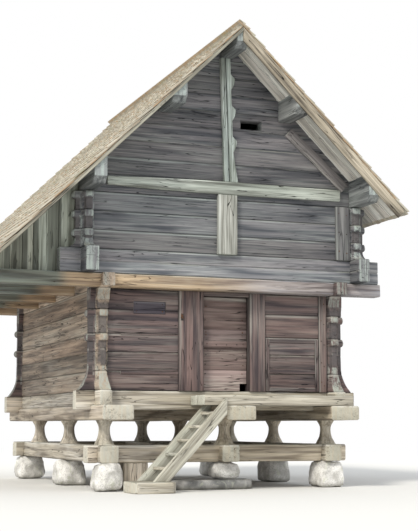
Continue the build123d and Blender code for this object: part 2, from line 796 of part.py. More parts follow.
# Roof boards and the covering of shakes, which on the right slope runs past the ridge as a comb
slope_run = cos(radians(pitch))
slope_rise = sin(radians(pitch))
comb_foot = cover_thickness / (2 * slope_rise)
comb_top = (-comb_reach * slope_run, ridge_height + comb_reach * slope_rise)
comb = [
    comb_top,
    (comb_top[0] - cover_thickness * slope_rise, comb_top[1] - cover_thickness * slope_run),
    (-comb_foot, roof_level(comb_foot)),
]
for name, side, reach in (("left", -1, left_eave_reach), ("right", 1, right_eave_reach)):
    cover_drop = cover_thickness * sin(radians(pitch))
    deck_reach = reach - cover_drop - deck_setback
    deck_drop = deck_thickness * sin(radians(pitch))
    with BuildPart() as roof_cover:
        with BuildSketch(elevation(verge_front)):
            Polygon(
                *(comb if side > 0 else []),
                (0, ridge_height),
                (0, roof_level(0, cover_thickness)),
                (side * (reach - cover_drop), roof_level(reach - cover_drop, cover_thickness)),
                (side * reach, roof_level(reach)),
                align=None,
            )
        extrude(amount=verge_front - verge_rear)
    write(roof_cover, f"{name}_roof_cover")
    with BuildPart() as roof_deck:
        with BuildSketch(elevation(purlin_start)):
            Polygon(
                (0, roof_level(0, cover_thickness)),
                (0, roof_level(0, roof_depth)),
                (side * (deck_reach - deck_drop), roof_level(deck_reach - deck_drop, roof_depth)),
                (side * deck_reach, roof_level(deck_reach, cover_thickness)),
                align=None,
            )
        extrude(amount=-purlin_length)
    write(roof_deck, f"{name}_roof_deck")
    barge_depth = left_barge_depth if side < 0 else right_barge_depth
    barge_drop = barge_depth * sin(radians(pitch))
    with BuildPart() as bargeboards:
        for y in (verge_front + verge_lip, verge_rear - verge_lip - barge_thickness):
            with BuildSketch(elevation(y)):
                Polygon(
                    (0, roof_level(0, cover_thickness)),
                    (0, roof_level(0, cover_thickness + barge_depth)),
                    (side * (deck_reach - barge_drop), roof_level(deck_reach - barge_drop,
                                                                 cover_thickness + barge_depth)),
                    (side * deck_reach, roof_level(deck_reach, cover_thickness)),
                    align=None,
                )
            extrude(amount=-barge_thickness)
    write(bargeboards, f"{name}_bargeboards")

# Landing of two planks on the front ends of the sleepers, the rear one between the sill ends
rear_plank_depth = sleeper_reach - landing_depth - plank_gap
rear_plank_right = lower_half_width - half_log - plank_gap
landing_left = door_left - landing_margin
landing_right = lower_half_width + landing_overrun
with BuildPart() as landing:
    with Locations((ridge_x + landing_left, front_y + landing_front, sleeper_top)):
        Box(landing_right - landing_left, landing_depth, landing_thickness,
            align=(Align.MIN, Align.MIN, Align.MIN))
    with Locations((ridge_x + landing_left, front_y - half_log, sleeper_top)):
        Box(rear_plank_right - landing_left, rear_plank_depth, landing_thickness,
            align=(Align.MIN, Align.MAX, Align.MIN))
write(landing, "landing")

# Stair down to the left, turned a little towards the front
stair_top = sleeper_top + landing_thickness - stair_drop
stair_rise = stair_top - step_height
stair_slope = stair_rise / stair_run
stringer_drop = stringer_depth * (1 + stair_slope ** 2) ** 0.5
stair_x = ridge_x + door_left + stair_shift
stair_y = front_y + landing_front + stair_bite


def stair_plane(shift):
    """Upright plane along the stair, shifted from the inner face of the near stringer."""
    return Plane(
        origin=(stair_x - shift * stair_sine, stair_y + shift * stair_cosine, 0),
        x_dir=(-stair_cosine, -stair_sine, 0),
        z_dir=(-stair_sine, stair_cosine, 0),
    )


with BuildPart() as stair_stringers:
    for shift in (-stringer_thickness, stair_clear_width):
        with BuildSketch(stair_plane(shift)):
            Polygon(
                (0, stair_top),
                (0, stair_top - stringer_drop),
                (stair_run - stringer_drop / stair_slope, step_height),
                (stair_run, step_height),
                align=None,
            )
        extrude(amount=stringer_thickness)
    with Locations((ridge_x + landing_left, front_y + landing_front, sleeper_top)):
        Box(landing_right - landing_left, sleeper_reach, landing_thickness,
            align=(Align.MIN, Align.MIN, Align.MIN), mode=Mode.SUBTRACT)
write(stair_stringers, "stair_stringers")

tread_rise = stair_rise / (tread_count + 1)
with BuildPart() as stair_treads:
    for tread in range(tread_count):
        tread_top = step_height + tread_rise * (tread + 1)
        tread_middle = (stair_top - tread_top) / stair_slope - stringer_drop / stair_slope / 2
        with BuildSketch(stair_plane(0)):
            with Locations((tread_middle, tread_top)):
                Rectangle(tread_depth, tread_thickness, align=(Align.CENTER, Align.MAX))
        extrude(amount=stair_clear_width)
write(stair_treads, "stair_treads")

# Blocks under the foot of the stair and under the front cross log
foot_x = stair_x - stair_run * stair_cosine
step_depth = stair_clear_width + 2 * stringer_thickness + step_margin
step_rounding = 60
with BuildPart() as foot_blocks:
    with BuildSketch() as step_plan:
        with Locations((foot_x, front_y - step_reach)):
            Rectangle(step_length, step_depth, align=(Align.CENTER, Align.MIN))
        chamfer(step_plan.vertices(), step_rounding)
    extrude(amount=step_height)
    with Locations((ridge_x - sleeper_spread + packing_shift, front_y, 0)):
        Box(packing_length, packing_width, base_log_level, align=(Align.MIN, Align.CENTER, Align.MIN))
write(foot_blocks, "foot_blocks")

# Door leaf of level boards with a ledge across it and a cat hole in its lower corner
leaf_left = ridge_x + door_left + leaf_swing_gap
leaf_right = ridge_x + door_right - leaf_gap
leaf_front = front_y - half_log + leaf_recess
leaf_back = leaf_front + leaf_thickness
leaf_bottom = wall_level + sill_gap
leaf_top = head_level - sill_gap
leaf_boards = (340, 320, 330)
strap_margin = 260
ledge_level = 700
ledge_height = 110
groove = 8
with BuildPart() as door_leaf:
    with BuildSketch(Plane(origin=(leaf_left, leaf_front, leaf_bottom), x_dir=(1, 0, 0), z_dir=(0, -1, 0))):
        Rectangle(leaf_right - leaf_left, leaf_top - leaf_bottom, align=(Align.MIN, Align.MIN))
        with Locations((leaf_right - leaf_left, 0)):
            Rectangle(cat_hole, cat_hole, align=(Align.MAX, Align.MIN), mode=Mode.SUBTRACT)
    extrude(amount=-leaf_thickness)
    with Locations((leaf_left, leaf_front, leaf_bottom + ledge_level)):
        Box(leaf_right - leaf_left, ledge_thickness, ledge_height, align=(Align.MIN, Align.MAX, Align.MIN))
    seam = leaf_bottom
    for height in leaf_boards:
        seam += height
        with Locations((leaf_left, leaf_front, seam)):
            Box(leaf_right - leaf_left, groove, groove, align=(Align.MIN, Align.MIN, Align.CENTER),
                mode=Mode.SUBTRACT)
write(door_leaf, "door_leaf")

# Strap hinges on the inner face, each turning on a pintle in the right post
barrel_radius = pin_radius + pin_clearance + barrel_wall
pin_x = ridge_x + door_right - barrel_radius - barrel_gap
pin_y = leaf_back + barrel_radius
strap_levels = [leaf_bottom + strap_margin, leaf_top - strap_margin]
with BuildPart() as door_straps:
    for level in strap_levels:
        with Locations((pin_x, leaf_back, level)):
            Box(strap_length, strap_thickness, strap_width, align=(Align.MAX, Align.MIN, Align.CENTER))
        with Locations((pin_x, pin_y, level)):
            Cylinder(barrel_radius, strap_width)
            Cylinder(pin_radius + pin_clearance, strap_width, mode=Mode.SUBTRACT)
write(door_straps, "door_straps")

shank_height = 16
shank_gap = 2
with BuildPart() as door_pintles:
    for level in strap_levels:
        shank_top = level - strap_width / 2 - shank_gap
        with Locations((ridge_x + door_right, pin_y, shank_top)):
            Box(ridge_x + door_right - pin_x + pin_radius, 2 * pin_radius, shank_height,
                align=(Align.MAX, Align.CENTER, Align.MAX))
        with Locations((pin_x, pin_y, shank_top)):
            Cylinder(pin_radius, strap_width + shank_gap, align=(Align.CENTER, Align.CENTER, Align.MIN))
write(door_pintles, "door_pintles")
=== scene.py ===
"""A raised log granary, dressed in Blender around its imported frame.

Every timber is finished as hewn or sawn wood from a copy of its frame node, and floors, soffits and
the gallery are cut into boards. The roof's shakes, the round legs, the foundation stones, the nails
and the latch are modelled here.
"""

import logging
import math
import random
from dataclasses import dataclass, field
from enum import Enum
from typing import Callable, Iterable, Sequence

import bmesh
import bpy
import numpy
from mathutils import Matrix, Vector


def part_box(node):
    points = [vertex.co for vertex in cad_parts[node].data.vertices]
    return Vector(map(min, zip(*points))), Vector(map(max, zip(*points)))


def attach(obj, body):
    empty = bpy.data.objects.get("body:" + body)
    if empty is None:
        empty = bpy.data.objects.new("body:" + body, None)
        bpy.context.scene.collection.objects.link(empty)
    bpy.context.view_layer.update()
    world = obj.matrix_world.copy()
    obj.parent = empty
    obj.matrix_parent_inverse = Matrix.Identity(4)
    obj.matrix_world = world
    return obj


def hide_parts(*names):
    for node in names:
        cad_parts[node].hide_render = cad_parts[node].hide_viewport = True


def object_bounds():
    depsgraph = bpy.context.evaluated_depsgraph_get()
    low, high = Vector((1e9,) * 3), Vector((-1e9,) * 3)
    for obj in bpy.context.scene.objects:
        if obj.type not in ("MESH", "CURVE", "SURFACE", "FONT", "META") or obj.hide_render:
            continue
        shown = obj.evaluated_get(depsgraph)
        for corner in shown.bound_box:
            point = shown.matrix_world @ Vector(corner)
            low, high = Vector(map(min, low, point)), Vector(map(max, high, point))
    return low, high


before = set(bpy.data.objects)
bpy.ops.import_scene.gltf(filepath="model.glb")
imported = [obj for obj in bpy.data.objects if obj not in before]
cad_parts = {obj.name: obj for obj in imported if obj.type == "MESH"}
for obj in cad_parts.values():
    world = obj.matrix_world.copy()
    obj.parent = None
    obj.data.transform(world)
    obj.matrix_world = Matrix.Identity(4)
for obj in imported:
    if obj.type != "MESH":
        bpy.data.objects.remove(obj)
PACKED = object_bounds()

Colour = tuple[float, float, float]
Point = tuple[float, float, float]

SAME_SPOT = 0.0002  # vertices of a frame node that lie closer are one, in metres
NEARLY_STRAIGHT = 0.97  # share of an axis from which a part counts as lying along it
LOOKS_ALONG = 0.9  # share of a direction from which a face looks that way
END_GRAIN = 0.72  # share of the grain's direction from which a face shows end grain
PATTERN_LENGTH = 40  # metres of grain over which logs are spread, so that no two look alike
SHORTEST_SHAKE = 0.05  # no shake is shorter or narrower, in metres
log = logging.getLogger("granary")


class Along(Enum):
    """The axis that a timber's grain follows."""

    X = 0
    Y = 1
    Z = 2


# Plain modelling steps


def deselect() -> None:
    """Deselect every object."""
    bpy.ops.object.select_all(action="DESELECT")


def take(piece: bpy.types.Object) -> None:
    """Select one object alone and make it the active one."""
    deselect()
    piece.select_set(True)
    bpy.context.view_layer.objects.active = piece


def apply_all(piece: bpy.types.Object) -> None:
    """Apply all modifiers of a piece in their order."""
    take(piece)
    for modifier in list(piece.modifiers):
        bpy.ops.object.modifier_apply(modifier=modifier.name)


def block(name: str, low: Sequence[float], high: Sequence[float]) -> bpy.types.Object:
    """Add a block primitive between two corners.

    Args:
        name: The new object's name.
        low: The lowest corner, in metres.
        high: The highest corner, in metres.

    Returns:
        The block, with its place in its mesh.
    """
    deselect()
    middle = [(a + b) / 2 for a, b in zip(low, high)]
    bpy.ops.mesh.primitive_cube_add(size=1, location=middle)
    piece = bpy.context.object
    piece.name = name
    piece.scale = [b - a for a, b in zip(low, high)]
    bpy.ops.object.transform_apply(location=True, rotation=True, scale=True)
    return piece


def joined(name: str, pieces: Sequence[bpy.types.Object]) -> bpy.types.Object:
    """Join several objects into one.

    Args:
        name: The name of the joined object.
        pieces: The objects to join, at least one.

    Returns:
        The joined object.
    """
    deselect()
    for piece in pieces:
        piece.select_set(True)
    bpy.context.view_layer.objects.active = pieces[0]
    bpy.ops.object.join()
    whole = bpy.context.object
    whole.name = name
    return whole


def copied(source: bpy.types.Object, place: Matrix) -> bpy.types.Object:
    """Copy a modelled piece with a mesh of its own.

    Args:
        source: The modelled piece.
        place: Where its mesh goes.

    Returns:
        The copy, linked to the scene.
    """
    mesh = source.data.copy()
    mesh.transform(place)
    twin = bpy.data.objects.new(source.name, mesh)
    bpy.context.scene.collection.objects.link(twin)
    return twin


def drop(pieces: Iterable[bpy.types.Object]) -> None:
    """Delete patterns that were only copied."""
    for piece in list(pieces):
        bpy.data.objects.remove(piece, do_unlink=True)


def inset(piece: bpy.types.Object, towards: Vector, thickness: float, lift: float) -> None:
    """Inset the faces that look in a direction, and lift them.

    Args:
        piece: The object.
        towards: The direction, of unit length.
        thickness: The width of the rim that is left around them, in metres.
        lift: How far they are lifted, in metres.
    """
    take(piece)
    bpy.ops.object.mode_set(mode="EDIT")
    bpy.ops.mesh.select_mode(type="FACE")
    bpy.ops.mesh.select_all(action="DESELECT")
    bpy.ops.object.mode_set(mode="OBJECT")
    for face in piece.data.polygons:
        face.select = face.normal.dot(towards) > LOOKS_ALONG
    bpy.ops.object.mode_set(mode="EDIT")
    bpy.ops.mesh.inset(thickness=thickness, depth=lift)
    bpy.ops.object.mode_set(mode="OBJECT")


def bevel(piece: bpy.types.Object, width: float, segments: int, degrees: float) -> None:
    """Add a bevel to the edges that are sharper than an angle.

    Args:
        piece: The object.
        width: The bevel's width, in metres.
        segments: How many strips it has.
        degrees: The angle.
    """
    edge = piece.modifiers.new("arris", "BEVEL")
    edge.width = width
    edge.segments = segments
    edge.limit_method = "ANGLE"
    edge.angle_limit = math.radians(degrees)


def smooth(piece: bpy.types.Object, degrees: float = 35) -> None:
    """Shade a piece smooth, with edges sharper than an angle kept crisp.

    Args:
        piece: The object to shade.
        degrees: The sharpest angle that is smoothed.
    """
    take(piece)
    bpy.ops.object.shade_smooth_by_angle(angle=math.radians(degrees))


def frame_copy(name: str, node: str) -> bpy.types.Object:
    """Copy a frame node's mesh into a new object, merged and with its flat faces whole.

    Args:
        name: The new object's name.
        node: The frame node's name.

    Returns:
        The copy.
    """
    piece = bpy.data.objects.new(name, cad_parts[node].data.copy())
    bpy.context.scene.collection.objects.link(piece)
    take(piece)
    bpy.ops.object.mode_set(mode="EDIT")
    bpy.ops.mesh.select_all(action="SELECT")
    bpy.ops.mesh.remove_doubles(threshold=SAME_SPOT)
    bpy.ops.mesh.dissolve_limited(angle_limit=math.radians(1))
    bpy.ops.object.mode_set(mode="OBJECT")
    piece.data.materials.clear()
    return piece


def clamped(value: float, low: float, high: float) -> float:
    """The value, kept between two limits."""
    return min(max(value, low), high)


def axis_line(axis: int) -> Vector:
    """The direction of the axis 0, 1 or 2."""
    return Vector([float(n == axis) for n in range(3)])


def slice_at(piece: bpy.types.Object, axis: int, places: Iterable[float]) -> None:
    """Cut a mesh with planes square to an axis, keeping both sides.

    Args:
        piece: The object to cut.
        axis: 0, 1 or 2 for X, Y or Z.
        places: The planes' places on that axis, in metres.
    """
    take(piece)
    bpy.ops.object.mode_set(mode="EDIT")
    normal = axis_line(axis)
    for place in places:
        bpy.ops.mesh.select_all(action="SELECT")
        bpy.ops.mesh.bisect(plane_co=normal * place, plane_no=normal, use_fill=False)
    bpy.ops.object.mode_set(mode="OBJECT")


def waver(piece: bpy.types.Object, strength: float, size: float, stretch: Sequence[float]) -> None:
    """Push a mesh in and out a little along its normals, as hewn wood or stone is.

    Args:
        piece: The object to push.
        strength: The whole travel from the deepest to the highest spot, in metres.
        size: The size of the swellings, in metres.
        stretch: How far they are drawn out along X, Y and Z.
    """
    clouds = bpy.data.textures.new("swellings", type="CLOUDS")
    clouds.noise_scale = size
    clouds.noise_depth = 2
    guide = bpy.data.objects.new("guide", None)
    bpy.context.scene.collection.objects.link(guide)
    guide.scale = stretch
    bpy.context.view_layer.update()
    push = piece.modifiers.new("push", "DISPLACE")
    push.texture = clouds
    push.texture_coords = "OBJECT"
    push.texture_coords_object = guide
    push.strength = strength
    push.mid_level = 0.5
    apply_all(piece)
    drop([guide])


def islands(mesh: bpy.types.Mesh) -> list[int]:
    """Number the loose parts of a mesh.

    Args:
        mesh: The mesh to sort.

    Returns:
        For each face, the number of the part that it belongs to.
    """
    work = bmesh.new()
    work.from_mesh(mesh)
    work.faces.ensure_lookup_table()
    part_of = [-1] * len(work.faces)
    part = 0
    for start in work.faces:
        if part_of[start.index] >= 0:
            continue
        part_of[start.index] = part
        queue = [start]
        while queue:
            for edge in queue.pop().edges:
                for other in edge.link_faces:
                    if part_of[other.index] < 0:
                        part_of[other.index] = part
                        queue.append(other)
        part += 1
    work.free()
    return part_of


def spans(mesh: bpy.types.Mesh, keys: Sequence[object]) -> dict[object, tuple[Vector, Vector]]:
    """Find the box around each group of faces.

    Args:
        mesh: The mesh.
        keys: The group of each face.

    Returns:
        The lowest and the highest corner of each group.
    """
    boxes: dict[object, tuple[Vector, Vector]] = {}
    for key, face in zip(keys, mesh.polygons):
        for vertex in face.vertices:
            spot = mesh.vertices[vertex].co
            low, high = boxes.setdefault(key, (spot.copy(), spot.copy()))
            for axis in range(3):
                low[axis] = min(low[axis], spot[axis])
                high[axis] = max(high[axis], spot[axis])
    return boxes


def part_boxes(node: str) -> list[tuple[Vector, Vector]]:
    """Find the box around each loose part of a frame node.

    Args:
        node: The frame node's name.

    Returns:
        The lowest and the highest corner of each part.
    """
    parts = frame_copy("parts", node)
    boxes = spans(parts.data, islands(parts.data))
    drop([parts])
    return list(boxes.values())


def long_line(points: Sequence[Vector]) -> Vector:
    """Find the direction in which a part is longest.

    Args:
        points: The part's vertices.

    Returns:
        Its direction, of unit length.
    """
    spots = numpy.array([tuple(point) for point in points])
    spots = spots - (spots.max(axis=0) + spots.min(axis=0)) / 2
    line = Vector(numpy.linalg.eigh(spots.T @ spots)[1][:, 2].tolist())
    for axis in range(3):
        if abs(line[axis]) > NEARLY_STRAIGHT:
            return axis_line(axis)
    return line if line.z >= 0 else -line


def store(mesh: bpy.types.Mesh, name: str, values: Sequence[float]) -> None:
    """Store values at a mesh's face corners.

    Args:
        mesh: The mesh.
        name: The attribute's name.
        values: One number for each corner, or the three of a vector.
    """
    kind, key = ("FLOAT", "value") if len(values) == len(mesh.loops) else ("FLOAT_VECTOR", "vector")
    mesh.attributes.new(name, kind, "CORNER").data.foreach_set(key, values)


@dataclass(frozen=True)
class LogAxes:
    """One log's own directions and heart, and the values that its finish reads."""

    line: Vector  # along the log
    side: Vector
    up: Vector
    heart: Vector
    facts: Point  # its tone, a random value and half its height

    def place(self, spot: Vector) -> Point:
        """A spot's distances along the log, across it and up from its heart."""
        way = spot - self.heart
        return way.dot(self.line), way.dot(self.side), way.dot(self.up)


def log_axes(
    line: Vector, box: tuple[Vector, Vector], draw: random.Random, heart_shift: float, tone: float | None
) -> LogAxes:
    """Work out a log's own directions and heart.

    Args:
        line: The direction of its grain.
        box: The lowest and the highest corner of the space that it fills.
        draw: The source of random values.
        heart_shift: How far its heart lies off its middle at most, in metres.
        tone: Its tone, or None for a random one.

    Returns:
        Its directions, heart and values.
    """
    low, high = box
    size = high - low
    side = Vector((0, 0, 1)).cross(line)
    side = side.normalized() if side.length > 0.1 else Vector((0, 1, 0))
    up = line.cross(side)
    first, second = draw.random(), draw.random()
    heart = (low + high) / 2 + side * heart_shift * (second - 0.5) * 2 + up * heart_shift * (first - 0.5) * 3
    heart -= line * PATTERN_LENGTH * first
    half = sum(abs(up[axis]) * size[axis] for axis in range(3)) / 2
    return LogAxes(line, side, up, heart, (first if tone is None else tone, second, half))


def mark_grain(
    piece: bpy.types.Object,
    along: Vector | None,
    seed: str,
    levels: Sequence[float] = (),
    heart_shift: float = 0.0,
    tones: Sequence[float] = (),
    end_grain_and_shade: Callable[[Vector], float] | None = None,
) -> None:
    """Store each log's own coordinates in the mesh, for the wood finishes.

    Every face belongs to one log: one loose part, or one course between two levels of a wall. The
    attribute "grain" holds metres along the log, across it and up from its heart. The attribute
    "log" holds the log's tone, a random value and half its height. "end" is 1 on end grain, and below
    0 in hollows where shade is painted.

    Args:
        piece: The object to mark.
        along: The direction of the grain, of unit length, or None where it follows each part's length.
        seed: Words that set the random values.
        levels: The heights of a wall's seams, from the bottom to the top.
        heart_shift: How far the heart lies off the middle at most, as on sawn boards, in metres.
        tones: The tones of the courses from the bottom up, where they aren't random.
        end_grain_and_shade: How much end grain shows at a spot, from 0 to 1, or below 0 where shade is
            painted.
    """
    mesh = piece.data
    spots = [vertex.co for vertex in mesh.vertices]
    keys = [
        (part, sum(face.center.z > level for level in levels))
        for part, face in zip(islands(mesh), mesh.polygons)
    ]
    logs = {}
    for number, (key, box) in enumerate(spans(mesh, keys).items()):
        line = along or long_line(
            [spots[v] for other, face in zip(keys, mesh.polygons) if other == key for v in face.vertices]
        )
        tone = tones[key[1]] if key[1] < len(tones) else None
        logs[key] = log_axes(line, box, random.Random(f"{seed}{number}"), heart_shift, tone)
    grain, marks, ends = [], [], []
    for key, face in zip(keys, mesh.polygons):
        axes = logs[key]
        is_end = abs(face.normal.dot(axes.line)) > END_GRAIN
        for corner in face.loop_indices:
            spot = spots[mesh.loops[corner].vertex_index]
            grain_and_shade = end_grain_and_shade(spot) if end_grain_and_shade else 1.0
            grain += axes.place(spot)
            marks += axes.facts
            # end-grain share, and below 0 painted shade in hollows
            ends.append(max(grain_and_shade, 0.0) * is_end + min(grain_and_shade, 0.0))
    store(mesh, "grain", grain)
    store(mesh, "log", marks)
    store(mesh, "end", ends)


def settle(
    piece: bpy.types.Object, finish: "Finish", body: str, nodes: Sequence[str] = ()
) -> None:
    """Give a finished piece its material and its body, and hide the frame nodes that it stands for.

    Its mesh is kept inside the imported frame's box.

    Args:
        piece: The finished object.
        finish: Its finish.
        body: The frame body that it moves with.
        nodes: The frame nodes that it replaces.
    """
    for vertex in piece.data.vertices:
        for axis in range(3):
            vertex.co[axis] = clamped(vertex.co[axis], PACKED[0][axis], PACKED[1][axis])
    piece.data.materials.clear()
    piece.data.materials.append(finish.material())
    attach(piece, body)
    if nodes:
        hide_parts(*nodes)
    log.info("%s: %d faces", piece.name, len(piece.data.polygons))


# Finishes


class Shading:
    """A short way to lay out a material's nodes."""

    def __init__(self, name: str) -> None:
        """Start an empty material.

        Args:
            name: The material's name.
        """
        self.stuff = bpy.data.materials.new(name)
        self.stuff.use_nodes = True
        self.tree = self.stuff.node_tree
        self.tree.nodes.clear()

    def node(self, kind: str, **values: object) -> bpy.types.Node:
        """Add a node and set its properties.

        Args:
            kind: The node's type.
            values: Its properties by name.

        Returns:
            The node.
        """
        node = self.tree.nodes.new(kind)
        for key, value in values.items():
            setattr(node, key, value)
        return node

    def feed(self, target: bpy.types.NodeSocket, source: object) -> None:
        """Link a socket or set its value.

        Args:
            target: The input socket.
            source: An output socket or a plain value.
        """
        if isinstance(source, bpy.types.NodeSocket):
            self.tree.links.new(source, target)
        elif source is not None:
            target.default_value = source

    def stretched(self, vector: object, scale: Point) -> bpy.types.NodeSocket:
        """Scale a vector.

        Args:
            vector: The coordinates.
            scale: The factors along the three axes.

        Returns:
            The scaled coordinates.
        """
        node = self.node("ShaderNodeMapping")
        self.feed(node.inputs["Vector"], vector)
        node.inputs["Scale"].default_value = scale
        return node.outputs["Vector"]

    def noise(
        self, vector: object, scale: float, detail: float = 4, warp: float = 0
    ) -> bpy.types.NodeSocket:
        """Noise from 0 to 1.

        Args:
            vector: The coordinates.
            scale: Swellings per metre.
            detail: How many finer layers there are.
            warp: How far it is distorted.

        Returns:
            The value.
        """
        node = self.node("ShaderNodeTexNoise")
        self.feed(node.inputs["Vector"], vector)
        node.inputs["Scale"].default_value = scale
        node.inputs["Detail"].default_value = detail
        node.inputs["Distortion"].default_value = warp
        return node.outputs["Fac"]

    def ramp(self, value: object, low: float, high: float) -> bpy.types.NodeSocket:
        """Spread the span from low to high over 0 to 1, with the rest clipped.

        Args:
            value: The value to spread.
            low: What becomes 0.
            high: What becomes 1.

        Returns:
            The spread value.
        """
        node = self.node("ShaderNodeMapRange", interpolation_type="SMOOTHSTEP")
        self.feed(node.inputs["Value"], value)
        node.inputs["From Min"].default_value = low
        node.inputs["From Max"].default_value = high
        return node.outputs["Result"]

    def sum(self, operation: str, first: object, second: object = None) -> bpy.types.NodeSocket:
        """Work out a sum.

        Args:
            operation: The name of the operation.
            first: The first value.
            second: The second value.

        Returns:
            The result.
        """
        node = self.node("ShaderNodeMath", operation=operation)
        self.feed(node.inputs[0], first)
        self.feed(node.inputs[1], second)
        return node.outputs[0]

    def times(self, first: object, second: object) -> bpy.types.NodeSocket:
        """One value times another."""
        return self.sum("MULTIPLY", first, second)

    def plus(self, first: object, second: object) -> bpy.types.NodeSocket:
        """One value plus another."""
        return self.sum("ADD", first, second)

    def grey(self, value: object) -> bpy.types.NodeSocket:
        """Turn a value into a grey colour.

        Args:
            value: The value.

        Returns:
            The colour.
        """
        node = self.node("ShaderNodeCombineColor")
        for socket in node.inputs[:3]:
            self.feed(socket, value)
        return node.outputs[0]

    def parted(self, vector: object) -> Sequence[bpy.types.NodeSocket]:
        """Split a vector.

        Args:
            vector: The vector.

        Returns:
            Its three values.
        """
        node = self.node("ShaderNodeSeparateXYZ")
        self.feed(node.inputs[0], vector)
        return node.outputs

    def spot(self) -> bpy.types.NodeSocket:
        """The place on the object, in metres."""
        return self.node("ShaderNodeTexCoord").outputs["Object"]

    def attribute(self, name: str) -> bpy.types.Node:
        """A node that reads one of the mesh's own attributes."""
        return self.node("ShaderNodeAttribute", attribute_name=name)

    def blend(
        self, factor: object, first: object, second: object, mode: str = "MIX"
    ) -> bpy.types.NodeSocket:
        """Blend two colours.

        Args:
            factor: The share of the second colour.
            first: The first colour, a socket or three values.
            second: The second colour, a socket or three values.
            mode: The way of blending.

        Returns:
            The blended colour.
        """
        node = self.node("ShaderNodeMix", data_type="RGBA", blend_type=mode)
        self.feed(node.inputs[0], factor)
        for socket, value in ((node.inputs[6], first), (node.inputs[7], second)):
            self.feed(socket, (*value, 1.0) if isinstance(value, tuple) else value)
        return node.outputs[2]

    def finish(
        self, colour: object, roughness: object, height: object, bump: float, reach: float, **shader: float
    ) -> bpy.types.Material:
        """End the material in one shader with a bump.

        Args:
            colour: The base colour.
            roughness: The roughness.
            height: The bump's height value.
            bump: The bump's strength.
            reach: The bump's depth, in metres.
            shader: Other shader values, with underscores for spaces.

        Returns:
            The material.
        """
        lift = self.node("ShaderNodeBump")
        self.feed(lift.inputs["Height"], height)
        lift.inputs["Strength"].default_value = bump
        lift.inputs["Distance"].default_value = reach
        surface = self.node("ShaderNodeBsdfPrincipled")
        self.feed(surface.inputs["Base Color"], colour)
        self.feed(surface.inputs["Roughness"], roughness)
        self.tree.links.new(lift.outputs["Normal"], surface.inputs["Normal"])
        for key, value in shader.items():
            surface.inputs[key.replace("_", " ")].default_value = value
        out = self.node("ShaderNodeOutputMaterial")
        self.tree.links.new(surface.outputs[0], out.inputs["Surface"])
        return self.stuff


@dataclass(frozen=True)
class Finish:
    """A finish that is made once and shared by its pieces."""

    name: str

    def material(self) -> bpy.types.Material:
        """The finish's material, made at its first use."""
        return bpy.data.materials.get(self.name) or self.make()

    def make(self) -> bpy.types.Material:
        """Lay out the material."""
        raise NotImplementedError


@dataclass(frozen=True)
class ToneZone:
    """A stretch along one axis where the colour is multiplied by a tone; most of these stretches paint light
    or shade.
    """

    along: Along
    none: float  # where the tone starts, in metres
    full: float  # where it is complete
    tone: Colour = (0.6, 0.6, 0.6)


